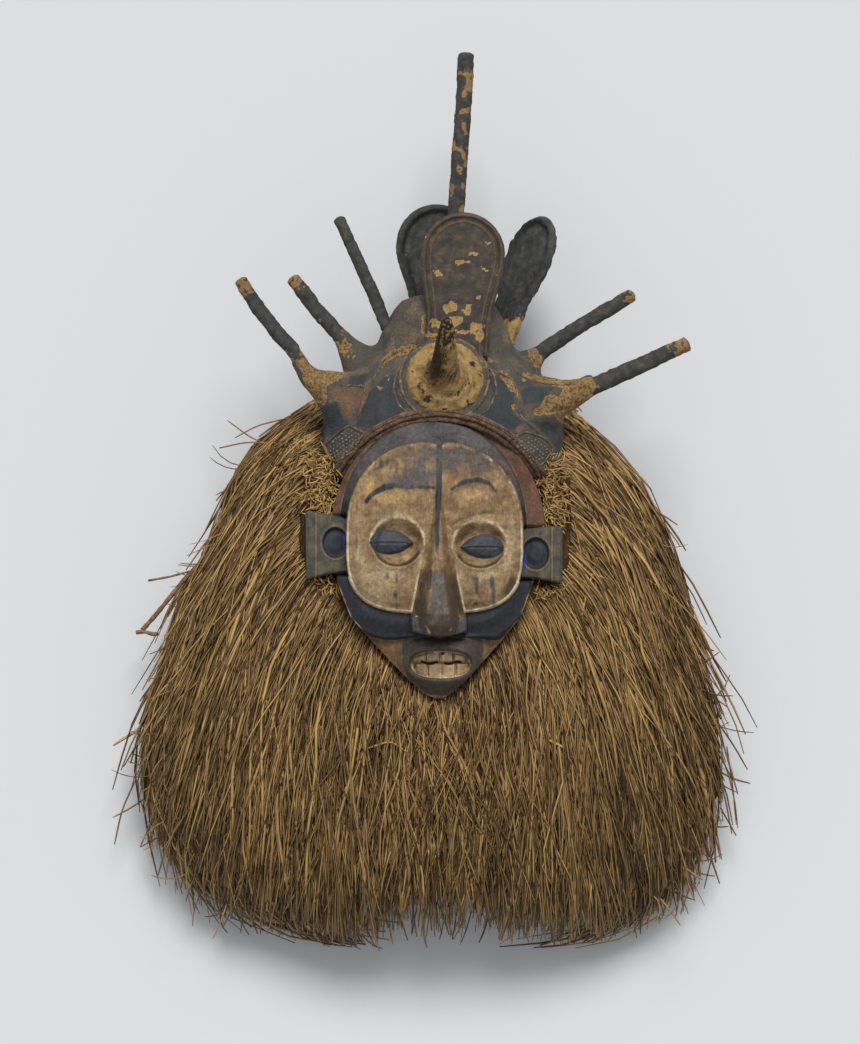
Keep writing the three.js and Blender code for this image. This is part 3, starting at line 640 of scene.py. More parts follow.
green = hills(ex, ey, [(-74, -20, 7, 3.5, 0.55), (78, -28, 8, 4, 0.4)]) + 0.3 * step(0, 0.6, rough)
mark(ears, "blue_black", dark)
mark(ears, "pale", 0.5 * step(0.6, 1.2, rough) * (1 - oval_mask))
mark(ears, "rust", np.maximum(raised_line, 0.75 * oval_line) * step(159, 161, ez))
mark(ears, "cobalt", hills(ex, ey, [(-70, -33, 2.2, 9, 1.25), (71, -47, 2.0, 9, 1.25)]))
mark(ears, "green", np.clip(green, 0, 1))
patina, tree, shader, at = new_finish("grey-green weathered paint")
stretched = add(tree, "ShaderNodeMapping", {"Vector": at, "Scale": (1, 0.16, 0.5)}).outputs[0]
grain = add(
    tree, "ShaderNodeTexNoise", {"Vector": stretched, "Scale": 0.9, "Detail": 5, "Roughness": 0.65}
).outputs[0]
blotch = add(
    tree, "ShaderNodeTexNoise", {"Vector": at, "Scale": 0.12, "Detail": 6, "Roughness": 0.65}
).outputs[0]
speck = add(
    tree, "ShaderNodeTexNoise", {"Vector": at, "Scale": 0.7, "Detail": 4, "Roughness": 0.7}
).outputs[0]
mixed = add(tree, "ShaderNodeMath", {0: grain, 1: 0.5, 2: blotch}, operation="MULTIPLY_ADD").outputs[0]
colour = ramp(tree, mixed, [(0.55, "#343733"), (0.74, "#4a4a41"), (0.92, "#655a46")])
colour = coats(
    tree, colour, speck, blotch,
    [
        ("green", "#6b6a51", 0.3, 0.9, 0.5), ("pale", "#84785f", 0.3, 0.9, 0.5),
        ("blue_black", "#2e3137", 0.3, 0.8, 0.35), ("rust", "#7c6249", 0.4, 0.9, 0.4),
        ("cobalt", "#31418c", 0.35, 1.0, 0.4),
    ],
)
finished(tree, shader, colour, 0.7, 0.3, grain, 0.5, 0.0008)
ears.data.materials.append(patina)
for obj in (face, ears):
    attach(obj, "root")
    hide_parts("face")


# The crown: cloth pulled over a cane cage and stiffened with resin and soot. It wraps the top of the
# head, swells into cones that grip the sticks, and ends in a rolled, corded edge round the forehead.
def superball(bm, centre, size, power, around, down):
    """A closed ball between an ellipsoid and a box."""
    for v in bmesh.ops.create_uvsphere(bm, u_segments=around, v_segments=down, radius=1)["verts"]:
        reach = sum(abs(c / s) ** power for c, s in zip(v.co, size)) ** (-1 / power)
        v.co = Vector(centre) + v.co * reach


def tube(bm, path, radii, sides=12, flat=1.0):
    """Adds a closed skin of rings along a path; flat squashes the rings along Z."""
    spots = [Vector(q) for q in path]
    ring = bmesh.ops.create_circle(bm, segments=sides, radius=1)["verts"]
    edges = list({e for v in ring for e in v.link_edges})
    ends = list(edges)
    across = Vector((0.36, 0.2, 0.91))
    before = Matrix()
    for k, spot in enumerate(spots):
        along = (spots[min(k + 1, len(spots) - 1)] - spots[max(k - 1, 0)]).normalized()
        across = (across - along * across.dot(along)).normalized()
        turn = Matrix((across, along.cross(across), along)).transposed().to_4x4()
        placed = Matrix.Translation(spot) @ Matrix.Diagonal((1, 1, flat, 1))
        placed = placed @ turn @ Matrix.Scale(radii[k], 4)
        if k:
            grown = bmesh.ops.extrude_edge_only(bm, edges=edges)["geom"]
            ring = [g for g in grown if isinstance(g, bmesh.types.BMVert)]
            edges = [g for g in grown if isinstance(g, bmesh.types.BMEdge) and g.is_boundary]
        moved = placed @ before.inverted()
        for v in ring:
            v.co = moved @ v.co
        before = placed
    bmesh.ops.holes_fill(bm, edges=ends + edges, sides=0)


def even_line(points, spacing, soften=3.0):
    """A line through the points with even steps, its bends softened."""
    corners = np.array(points, dtype=float)
    run = np.concatenate([[0], np.cumsum(np.linalg.norm(np.diff(corners, axis=0), axis=1))])
    at = np.linspace(0, run[-1], max(int(run[-1] / spacing), 2) + 1)
    line = np.stack([np.interp(at, run, corners[:, k]) for k in range(corners.shape[1])], 1)
    for _ in range(int((soften / spacing) ** 2) + 1):
        line[1:-1] = (line[:-2] + 2 * line[1:-1] + line[2:]) / 4
    return line


def beyond_shape(x, y, outline):
    """Distance outside a closed outline of corners; negative inside."""
    inside = np.zeros(x.shape, bool)
    for (ax, ay), (bx, by) in zip(outline, outline[1:] + outline[:1]):
        inside ^= ((ay > y) != (by > y)) & (x < ax + (y - ay) / (by - ay + 1e-9) * (bx - ax))
    away, _ = along_line(x, y, outline + outline[:1])
    return np.where(inside, -away, away)


def solidified(obj, *modifiers):
    """The object with these modifiers worked into its mesh."""
    for kind, settings in modifiers:
        modifier = obj.modifiers.new(kind, kind)
        for key, value in settings.items():
            setattr(modifier, key, value)
    ready = obj.evaluated_get(bpy.context.evaluated_depsgraph_get())
    mesh = bpy.data.meshes.new_from_object(ready)
    obj.modifiers.clear()
    obj.data = mesh
    return obj


def normals(obj):
    """The outward direction at every vertex, as an array."""
    flat = np.empty(len(obj.data.vertices) * 3)
    obj.data.vertex_normals.foreach_get("vector", flat)
    return flat.reshape(-1, 3)


def move_to(obj, p):
    """Puts every vertex of the piece at these places, in millimetres."""
    obj.data.vertices.foreach_set("co", (p * MM).astype(np.float32).ravel())
    obj.data.update()


CAP = {"centre": (6.5, 40, 95), "size": (98.5, 98.5, 97.5), "power": 2.1, "wall": 8}
ARCH_CENTRE = (3.2, -24)
ARCH_RADIUS = 90
# Each cone: its path out of the cap, and its radius at each place.
CONES = [
    (
        [
            (-60, 72, 130), (-76, 83, 135.5), (-86, 89.6, 138), (-93, 93.6, 138.6), (-99, 98, 139),
            (-105, 105, 140), (-110, 112, 140),
        ],
        [30, 21, 14.8, 11, 8.8, 7.2, 6.2],
    ),
    (
        [
            (-46, 92, 110), (-56, 105.5, 110), (-63, 114.6, 110), (-67, 119.8, 110), (-71, 124.8, 110),
            (-78, 134.4, 110),
        ],
        [28, 19.5, 13.6, 10.4, 8.2, 6.4],
    ),
    (
        [
            (54, 90, 110), (64, 99, 110), (70, 104.5, 110), (76, 110, 110), (80.5, 114.2, 110),
            (85.5, 118.4, 110),
        ],
        [28, 21, 16.4, 12.4, 9.4, 7.6],
    ),
    (
        [
            (70, 72, 132), (86, 76.4, 136), (95, 79.5, 138), (102, 81.8, 138.5), (108, 83.6, 139),
            (117, 87, 140), (128, 92, 140),
        ],
        [30, 25, 19.6, 15, 12, 9.6, 8.6],
    ),
    ([(-27, 118, 122), (-31, 124, 125), (-34, 131, 127), (-37, 138, 127)], [18, 11, 8.2, 6.0]),
]
BOSS_PATH = [
    (9, 96, 114), (9, 112, 117), (9.5, 124, 119.5), (10, 136, 121.5), (10.5, 148, 123), (11, 157, 124),
    (11, 162, 124),
]
BOSS_RADII = [66, 59.5, 54, 49.5, 44, 37, 27]
DISC_PATH = [(8.4, 92.6, 172), (8.4, 93.8, 176), (8.4, 94.6, 179.5)]
cap_bm = bmesh.new()
superball(cap_bm, CAP["centre"], CAP["size"], CAP["power"], 72, 48)
for path, radii in CONES:
    tube(cap_bm, path, radii, 24)
tube(cap_bm, BOSS_PATH, BOSS_RADII, 40, flat=0.78)
tube(cap_bm, DISC_PATH, [36, 35.5, 33], 40)
crown = finish_mesh(cap_bm, "crown_cloth")

arch_bm = bmesh.new()
tube(arch_bm, [(*ARCH_CENTRE, 60), (*ARCH_CENTRE, 300)], [ARCH_RADIUS, ARCH_RADIUS], 96)
arch = finish_mesh(arch_bm, "arch_cutter")
wall_bm = bmesh.new()
tube(wall_bm, [(*ARCH_CENTRE, 127), (*ARCH_CENTRE, 300)], [ARCH_RADIUS + 5, ARCH_RADIUS + 5], 96)
arch_wall = finish_mesh(wall_bm, "arch_wall_cutter")
room_bm = bmesh.new()
superball(room_bm, CAP["centre"], [s - CAP["wall"] for s in CAP["size"]], CAP["power"], 48, 32)
room = solidified(
    finish_mesh(room_bm, "room_cutter"),
    ("BOOLEAN", {"object": arch_wall, "operation": "DIFFERENCE", "solver": "EXACT"}),
)
rim_bm = bmesh.new()
bmesh.ops.create_cube(rim_bm, size=500)
tilt = Matrix.Rotation(-math.atan(0.39), 4, "X")
rim_place = Matrix.Translation((0, -38, 0)) @ tilt @ Matrix.Translation((0, -250, 0))
bmesh.ops.transform(rim_bm, matrix=rim_place, verts=rim_bm.verts)
rim_cut = finish_mesh(rim_bm, "rim_cutter")
under_bm = bmesh.new()
bmesh.ops.create_cube(under_bm, size=400, matrix=Matrix.Translation((0, 0, -199.2)))
under_cut = finish_mesh(under_bm, "under_cutter")
solidified(
    crown, ("REMESH", {"mode": "VOXEL", "voxel_size": 0.0016}),
    ("SMOOTH", {"factor": 0.6, "iterations": 12}),
)
cuts = [
    ("BOOLEAN", {"object": c, "operation": "DIFFERENCE", "solver": "EXACT"})
    for c in (room, arch, rim_cut, under_cut)
]
solidified(crown, *cuts)
solidified(
    crown, ("REMESH", {"mode": "VOXEL", "voxel_size": 0.00148}),
    ("SMOOTH", {"factor": 0.5, "iterations": 3}),
)
for cutter in (arch, arch_wall, room, rim_cut, under_cut):
    bpy.data.objects.remove(cutter)
p = places(crown)
lining = np.sum(np.abs((p - CAP["centre"]) / CAP["size"]) ** CAP["power"], axis=1) < 0.93 ** CAP["power"]
hidden = crown.vertex_groups.new(name="hidden")
hidden.add(np.nonzero(lining | (normals(crown)[:, 2] < -0.2))[0].tolist(), 1.0, "REPLACE")
solidified(crown, ("DECIMATE", {"ratio": 0.48, "vertex_group": "hidden"}))
crown.vertex_groups.clear()
crown.data.shade_smooth()
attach(crown, "root")
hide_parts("crown")

p = places(crown)
n = normals(crown)
cx, cy = p.T[:2]
share = np.sum(np.abs((p - CAP["centre"]) / CAP["size"]) ** CAP["power"], axis=1) ** (1 / CAP["power"])
out_side = step(0.93, 0.965, share)
soft = noise3(p, 7, 21)
torn = soft * 1.5 + noise3(p, 2.6, 22) * 1.3 + noise3(p, 1.2, 23) * 0.6
# Outlines of the places where the soot has flaked off to the ochre fibre.
OCHRE_PATCHES = [
    [
        (-107, 116), (-101, 109), (-94, 104), (-89, 105.5), (-80, 104.5), (-70.8, 103), (-70.2, 99),
        (-80.3, 94.0), (-85, 90.5), (-86.5, 85), (-83.9, 80.6), (-85.6, 75.3), (-91.7, 75.9), (-98, 84),
        (-103, 91.5), (-105, 99.5), (-109, 108),
    ],
    [(-81.5, 134), (-71.5, 130), (-66.5, 123.6), (-67, 118), (-70.5, 116.5), (-77.5, 119), (-82, 127.1)],
    [
        (-45.9, 102.7), (-42.4, 111.5), (-34.4, 117.6), (-22.1, 121.2), (-11.5, 122.9), (-9.8, 118.5),
        (-20.3, 114.1), (-30.9, 112.3), (-38.0, 106.2), (-44.1, 100.0),
    ],
    [(-39.4, 99.5), (-34.8, 98), (-35.8, 94)], [(-45, 89.5), (-40.5, 88.4), (-42, 86)],
    [(20.1, 121.6), (27.1, 116.7), (33.4, 107.9), (30.1, 101.7), (25, 108)],
    [(37.0, 121.2), (42.2, 115.9), (47.8, 108.8), (37.8, 108.7), (33.2, 115.0)],
    [(51.0, 103.2), (58.1, 97.5), (64.5, 90.3), (66.5, 81.3), (59.9, 86.7), (54.5, 93.8)],
    [(73, 120), (83, 126), (87, 122), (87, 103.9), (78.5, 105.5), (76.6, 112.8)],
    [
        (104.8, 93.8), (126.3, 97.5), (131.7, 83.3), (115.4, 74.4), (111.9, 65.6), (104.8, 58.6),
        (97.8, 61.2), (95.1, 67.4), (78.4, 66.4), (78.4, 73.7), (84.6, 74.4), (85.4, 82.4), (97.8, 83.3),
        (106.6, 88.6),
    ],
    [
        (70.5, 101.0), (80.1, 101.0), (96.0, 95.7), (114.6, 95.8), (111.9, 90.2), (94.2, 91.1),
        (80.1, 95.0), (70.5, 96),
    ],
    [
        (-9.7, 143.7), (-1.0, 149.8), (9.6, 157.1), (16.6, 157.1), (27.4, 148.1), (25.6, 139.1),
        (37.7, 139.3), (37.7, 128.5), (34.2, 121.5), (13.1, 125.0), (-1.0, 126.5), (-9.7, 130.3),
    ],
    [(60.5, 145.1), (67.7, 143.1), (65.0, 130.4), (60.4, 132.2)],
]
from_top = step(-0.25, 0.05, n[:, 2])
bare = np.zeros(len(p))
for patch in OCHRE_PATCHES:
    bare = np.maximum(bare, step(0.7, -0.7, beyond_shape(cx, cy, patch) + torn))
scuffs = noise3(p, 11, 24) + 0.6 * noise3(p, 3, 25)
bare = np.maximum(bare * from_top, step(0.98, 1.12, scuffs) * 0.9) * out_side
ROSY_PATCH = [
    (-82.9, 89.4), (-55.6, 88.6), (-55.6, 78.0), (-65.3, 63.6), (-71.5, 66.4), (-75.9, 78.9), (-82.0, 83.3),
]
pink = step(2.5, -2.5, beyond_shape(cx, cy, ROSY_PATCH) + torn)
pink = np.maximum(pink, hills(cx, cy, [(-42, 112, 12, 7, 0.55), (46, 104, 9, 12, 0.5)]))
arch_off = np.hypot(cx - ARCH_CENTRE[0], cy - ARCH_CENTRE[1]) - ARCH_RADIUS
pink = np.maximum(pink, 0.8 * step(4.4, 2.8, arch_off)) * out_side * from_top
# Outlines of the panels that are painted solid black between the cones.
BLACK_PANELS = [
    [
        (-39.7, 97.1), (-29.1, 99.7), (-28.6, 83.3), (-20.6, 72.2), (-44.8, 55.3), (-61.6, 57.1),
        (-52.1, 83.0),
    ],
    [
        (43.6, 97.4), (60.5, 91.8), (63.2, 83.3), (61.3, 70.9), (69.3, 60.3), (53.7, 49.2), (38.3, 62.1),
        (46.9, 83.0),
    ],
    [(-92, 72), (-77, 78), (-72, 64), (-66, 60), (-88, 48), (-94, 56)],
    [(76, 90), (96, 89), (84, 76), (70, 74), (68, 86)],
    [(76, 62), (90, 62), (102, 52), (100, 34), (88, 52)], [(-67, 98), (-52, 99), (-56, 90), (-68, 90)],
]
panel = np.zeros(len(p))
for outline in BLACK_PANELS:
    panel = np.maximum(panel, step(1.5, -1.5, beyond_shape(cx, cy, outline) + soft))
panel = panel * out_side * from_top
fray = noise3(p, 1.9, 26) * 0.7 + noise3(p, 4.5, 27) * 0.9
creases = 1.2 * noise3(p * [0.5, 1, 0.7], 9, 28) + 0.9 * noise3(p, 22, 29)
lifted = out_side * (creases * 0.9 - 0.9 * bare + fray * bare + 0.22 * noise3(p, 2.2, 30))
lifted = lifted + out_side * 1.2 * np.exp(-(((arch_off - 3.6) / 1.6) ** 2))
move_to(crown, p + n * lifted[:, None])
mark(crown, "bare", bare)
mark(crown, "pink", pink)
mark(crown, "panel", panel)
mark(crown, "lining", 1 - out_side)
mark(crown, "rubbed", out_side * (1 - 0.6 * panel) * (0.72 + 0.3 * noise3(p, 9, 35) + 0.2 * creases))

# Blackened cloth: soot and resin over coarse weave, rubbed to brown-grey on the high places, flaked off
# to the golden fibre padding beneath in patches, with an old rosy clay wash along the edging.
cloth, tree, shader, at = new_finish("soot-blackened cloth")
weave = add(
    tree, "ShaderNodeTexNoise", {"Vector": at, "Scale": 0.75, "Detail": 4, "Roughness": 0.7}
).outputs[0]
blotch = add(
    tree, "ShaderNodeTexNoise", {"Vector": at, "Scale": 0.07, "Detail": 7, "Roughness": 0.66}
).outputs[0]
speck = add(
    tree, "ShaderNodeTexNoise", {"Vector": at, "Scale": 0.42, "Detail": 5, "Roughness": 0.75}
).outputs[0]
soot = ramp(tree, blotch, [(0.3, "#3e3f40"), (0.5, "#524e47"), (0.7, "#605240")])
colour = coats(
    tree, soot, speck, blotch,
    [
        ("rubbed", "#75634c", 0.72, 1.15, 1.1), ("panel", "#3b3e40", 0.3, 0.9, 0.3),
        ("pink", "#6f5645", 0.3, 0.95, 0.6), ("bare", "#9e7f51", 0.35, 0.62, 0.45),
        ("bare", "#54402a", 0.82, 1.26, 2.2), ("lining", "#57442f", 0.3, 0.8, 0.1),
    ],
)
colour = dappled(tree, colour, weave, 0.34, 0.66, 0.74, 1.2)
relief = add(tree, "ShaderNodeMath", {0: weave, 1: speck}, operation="ADD").outputs[0]
finished(tree, shader, colour, 0.72, 0.32, relief, 0.9, 0.0012)
crown.data.materials.append(cloth)


# Thin cords are sewn on the crown: a double edging round the forehead, outlines of the black panels and
# of two lozenges, and a ring round the fibre disc. They were clay-red and are rubbed pale on top.
surface = BVHTree.FromObject(crown, bpy.context.evaluated_depsgraph_get())


def on_crown(x, y, lift):
    """The place on the crown's front under (x, y), raised by lift; None where there is no crown."""
    hit = surface.ray_cast(Vector((x, y, 400)) * MM, Vector((0, 0, -1)))[0]
    return hit / MM + Vector((0, 0, lift)) if hit else None


def arc(centre, half_wide, half_tall, degrees):
    turns = [math.radians(a) for a in degrees]
    return [(centre[0] + half_wide * math.cos(a), centre[1] + half_tall * math.sin(a)) for a in turns]


def round_arch(beyond):
    return arc(ARCH_CENTRE, ARCH_RADIUS + beyond, ARCH_RADIUS + beyond, range(28, 154, 4))


# Each sewn cord: the line that it follows on the crown, and its half thickness.
SEWN_CORDS = [
    (round_arch(5.0), 0.9), (arc((8.0, 94.6), 34.6, 33, range(0, 361, 10)), 1.3),
    (
        [
            (-63.5, 58.6), (-59.1, 67.4), (-53.8, 78.0), (-50.3, 88.6), (-45.0, 100.9), (-40.4, 109.5),
            (-30, 116.2),
        ],
        0.8,
    ),
    ([(-22.0, 113.0), (-29.3, 100.7), (-32.0, 86.4), (-27.5, 73.8), (-19, 66.5)], 0.8),
    ([(40.4, 109), (47.6, 97.1), (49.2, 83.8), (42, 70), (33.2, 65)], 0.8),
    ([(38, 104), (52, 99.5), (62.5, 94.4), (66.0, 83.3), (63.4, 72.7), (71.3, 62.1), (81.9, 53.3)], 0.8),
    (
        [
            (-87.3, 41.0), (-81.2, 49.0), (-67.0, 58.7), (-52.1, 50.8), (-61.5, 39.3), (-77.6, 29.4),
            (-84.7, 35.7), (-87.3, 41),
        ],
        0.85,
    ),
    (
        [
            (56.3, 45.0), (71.3, 53.5), (87.4, 48.9), (95.2, 40.0), (85.4, 27.6), (76.6, 25.1),
            (64.5, 37.3), (56.3, 45),
        ],
        0.85,
    ),
    ([(-74, 90.5), (-55, 90), (-54.6, 79), (-62.5, 61.6)], 0.8),
    ([(66, 99.5), (78, 93.5), (97, 90.5), (112, 92)], 0.8),
]
rng = random.Random(7)
cords_bm = bmesh.new()
for line, thick in SEWN_CORDS:
    run = []
    for x, y in even_line(line, 1.6):
        spot = on_crown(x + rng.uniform(-0.25, 0.25), y + rng.uniform(-0.25, 0.25), thick * 0.25)
        if spot is not None:
            run.append(spot)
    if len(run) > 2:
        tube(cords_bm, run, [thick * rng.uniform(0.82, 1.15) for _ in run], 8)
cords = finish_mesh(cords_bm, "crown_cords")

edge_bm = bmesh.new()
for beyond, thick, drop in [(3.4, 1.2, 0.5), (0.8, 1.9, 1.3), (-2.4, 3.0, 5.0)]:
    run = []
    for x, y in even_line(round_arch(beyond), 1.4):
        out = max(beyond, 2.2) - beyond
        outward = np.array([x - ARCH_CENTRE[0], y - ARCH_CENTRE[1]]) / (ARCH_RADIUS + beyond)
        spot = on_crown(x + outward[0] * out, y + outward[1] * out, 0)
        if spot is not None:
            run.append((x, y, spot[2] - drop))
    run = even_line(run, 1.4, 3.0)
    tube(edge_bm, run, thick * (1 + 0.16 * noise3(run, 5, 31) + 0.12 * noise3(run, 2, 32)), 12)
edging = finish_mesh(edge_bm, "crown_edging")
p = places(edging)
move_to(edging, p + normals(edging) * (0.4 * noise3(p, 1.8, 33) + 0.35 * noise3(p, 4, 34))[:, None])
for obj in (cords, edging):
    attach(obj, "root")
    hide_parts("crown")
cord_cloth, tree, shader, at = new_finish("rubbed clay-red cord")
wear = add(
    tree, "ShaderNodeTexNoise", {"Vector": at, "Scale": 0.16, "Detail": 6, "Roughness": 0.72}
).outputs[0]
colour = ramp(tree, wear, [(0.36, "#3a322b"), (0.52, "#5f4f3f"), (0.68, "#8f7a60")])
finished(tree, shader, colour, 0.85)
cords.data.materials.append(cord_cloth)
roll_cloth, tree, shader, at = new_finish("rolled clay-red cloth edge")
wear = add(
    tree, "ShaderNodeTexNoise", {"Vector": at, "Scale": 0.3, "Detail": 6, "Roughness": 0.75}
).outputs[0]
colour = ramp(tree, wear, [(0.36, "#32261e"), (0.48, "#533c2e"), (0.6, "#735744"), (0.72, "#957b5b")])
finished(tree, shader, colour, 0.9, relief=wear, strength=0.6)
edging.data.materials.append(roll_cloth)

# Chalk dots fill the two lozenges in rows; each lozenge has the rows' middle, their turn and its outline.
LOZENGES = [
    ((-69, 44), 0.62, [(-83.5, 41.0), (-79.5, 46.5), (-67.0, 54.7), (-56, 50), (-63, 41.0), (-77.6, 33.4)]),
    (
        (76, 40), -0.66,
        [(60.3, 44.5), (71.3, 49.5), (85, 45.9), (91.2, 40.0), (84, 31.6), (77, 29.1), (66.5, 38.3)],
    ),
]
dots_bm = bmesh.new()
for centre, turn, outline in LOZENGES:
    for i in range(-8, 9):
        for j in range(-7, 8):
            u, v = i * 3.0 + (j % 2) * 1.5, j * 2.7
            x = centre[0] + u * math.cos(turn) - v * math.sin(turn) + rng.uniform(-0.35, 0.35)
            y = centre[1] + u * math.sin(turn) + v * math.cos(turn) + rng.uniform(-0.35, 0.35)
            if beyond_shape(np.array([x]), np.array([y]), outline)[0] > 0.4 or rng.random() < 0.06:
                continue
            spot = on_crown(x, y, 0.25)
            if spot is not None:
                size = rng.uniform(0.7, 1.05)
                place = Matrix.Translation(spot)
                bmesh.ops.create_icosphere(dots_bm, subdivisions=2, radius=size, matrix=place)
dots = finish_mesh(dots_bm, "crown_dots")
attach(dots, "root")
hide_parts("crown")
chalk, tree, shader, at = new_finish("chalk paint dots")
powdery = add(tree, "ShaderNodeTexNoise", {"Vector": at, "Scale": 0.3, "Detail": 3}).outputs[0]
finished(tree, shader, ramp(tree, powdery, [(0.35, "#4c4b48"), (0.65, "#7d7a73")]), 0.9)
dots.data.materials.append(chalk)


# The horn: a bundle of raffia twisted from a wide frayed disc into a bent spike, bound tight, with its
# painted skin mostly lost and the tip burnt black. Folds of the twist circle the foot.
horn_bm = bmesh.new()
horn_path = [
    (8.4, 94.2, 176), (8.4, 94.6, 179.5), (8.4, 95.2, 182.6), (8.4, 96.2, 186), (8.3, 97.6, 190),
    (8.2, 99.6, 196), (8.2, 102.4, 204), (8.3, 106.6, 213), (8.6, 112.4, 223), (8.9, 119, 232),
    (9.3, 126.6, 240.5), (9.7, 133.4, 247), (10, 137.4, 250.6), (10.1, 138.6, 251.6),
]
horn_radii = [30.6, 30.2, 28, 22.5, 17.6, 13.6, 11.2, 9.7, 8.9, 8.0, 6.6, 4.9, 3.2, 1.4]
horn_run = even_line(horn_path, 0.9, 2.0)
reach = np.linalg.norm(np.diff(np.array(horn_path), axis=0), axis=1)
reach = np.concatenate([[0], np.cumsum(reach)]) / reach.sum()
tube(horn_bm, horn_run, np.interp(np.linspace(0, 1, len(horn_run)), reach, horn_radii), 120)
horn = finish_mesh(horn_bm, "brow_horn_fibre")
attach(horn, "root")
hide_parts("brow_horn")
p = places(horn)
n = normals(horn)
hx, hy, hz = p.T
axis_y = np.interp(hz, [q[2] for q in horn_path], [q[1] for q in horn_path])
around = np.arctan2(hy - axis_y, hx - 8.6)
radius = np.hypot(hy - axis_y, hx - 8.6)
twist = around * 2 + np.log(np.maximum(radius, 3)) * 4.5
fibres = noise3(np.stack([np.cos(twist) * 6, np.sin(twist) * 6, hz * 0.16 + radius * 0.12], 1), 0.55, 41)
folds = np.sin(radius * 0.95 + 1.6 * noise3(p, 9, 42)) * step(27, 20, radius) * step(7, 11, radius)
folds = folds * step(2.2, 0.2, np.abs(around + 0.6))
lumps = noise3(p, 4, 43)
rags = noise3(p, 1.5, 44)
lifted = 0.5 * fibres + 0.65 * folds + 0.7 * lumps * step(5, 12, radius) + 0.4 * rags
move_to(horn, p + n * lifted[:, None])
# Painted shade: in the hollows between fibres and folds, on a patch low on the shaft's left, and down the
# shaft's left side.
deep = 0.55 * step(0.1, -0.7, fibres + 0.6 * rags) + 0.5 * step(0.2, -0.9, folds)
deep = deep + 0.9 * hump(hx, hy, 3, 108, 4.5, 13) * step(184, 196, hz)
deep = deep + 0.8 * step(-0.2, -0.8, np.cos(around)) * step(24, 9, radius)
mark(horn, "shaded", np.clip(deep, 0, 1.3))
mark(horn, "burnt", step(234, 247, hz + 4 * lumps + 3 * rags) * np.clip(0.75 + 0.8 * rags, 0, 1))
pits = step(0.5, 0.9, lumps + 0.7 * rags) * step(14, 20, radius) * step(60, 90, 180 - hy)
dark_spots = hills(hx, hy, [(-4, 79, 7, 5, 0.8), (30, 106, 4, 3, 0.9), (-12, 88, 5, 4, 0.7)])
mark(horn, "soot", np.maximum(pits, dark_spots * (1 + 0.6 * rags)))

# Raffia fibre: dry golden stalks, matte, a little soot left on it, with painted shade in every hollow, on a
# patch low on the shaft and down the shaft's left side.
fibre, tree, shader, at = new_finish("twisted raffia fibre")
threads = add(
    tree, "ShaderNodeTexNoise", {"Vector": at, "Scale": 1.3, "Detail": 5, "Roughness": 0.75}
).outputs[0]
blotch = add(
    tree, "ShaderNodeTexNoise", {"Vector": at, "Scale": 0.16, "Detail": 5, "Roughness": 0.65}
).outputs[0]
golden = ramp(tree, blotch, [(0.3, "#7b5f3a"), (0.5, "#a38452"), (0.72, "#bb9d6e")])
golden = dappled(tree, golden, threads, 0.3, 0.7, 0.55, 1.25)
colour = coats(
    tree, golden, threads, blotch,
    [
        ("shaded", "#3f2f1a", 0.2, 1.2, 0.4), ("soot", "#2b2724", 0.35, 0.8, 0.5),
        ("burnt", "#2d251c", 0.3, 0.9, 0.5),
    ],
)
finished(tree, shader, colour, 0.85, 0.25, threads, 0.7)
horn.data.materials.append(fibre)


# Three upright petals: flat paddles of stuffed cloth, each edged with a rolled cord. The front one is
# painted smooth, edged in red-brown, and flaked; the two behind are blacker, puckered and stitched.
def paddle_half(y, petal):
    """Half the paddle's width at a height y above its foot."""
    neck, wide, length = petal["neck"], petal["wide"], petal["length"]
    head = length - wide
    low = neck + (wide - neck) * step(head * 0.25, head * 0.98, y)
    return np.where(y < head, low, wide * np.sqrt(np.clip(1 - ((y - head) / wide) ** 2, 0, 1)))


def make_paddle(name, petal, rows=94, sides=120):
    """A closed flat bag with the paddle's outline, still in its own frame: foot at 0, up along Y."""
    bm = bmesh.new()
    head = petal["length"] - petal["wide"]
    turn = np.linspace(0, math.pi / 2, 40)
    straight = np.linspace(-4, head, rows - 40, endpoint=False)
    heights = np.concatenate([straight, head + petal["wide"] * np.sin(turn)])
    heights[-1] -= 0.02
    tube(bm, [(0, y, 0) for y in heights], [1] * len(heights), sides)
    obj = finish_mesh(bm, name + "_cloth")
    q = places(obj)
    ring = np.hypot(q[:, 0], q[:, 2])
    ux, uz = q[:, 0] / ring, q[:, 2] / ring
    half = np.maximum(paddle_half(np.maximum(q[:, 1], 0), petal), 0.3)
    x = half * ux
    line = [(paddle_half(np.array([float(y)]), petal)[0], float(y)) for y in heights[2::3]]
    line = line + [(0.0, petal["length"])] + [(-a, b) for a, b in line[::-1]]
    edge, _ = along_line(x, q[:, 1], line)
    return obj, np.stack([x, q[:, 1], 0 * x], 1), np.sign(uz), edge


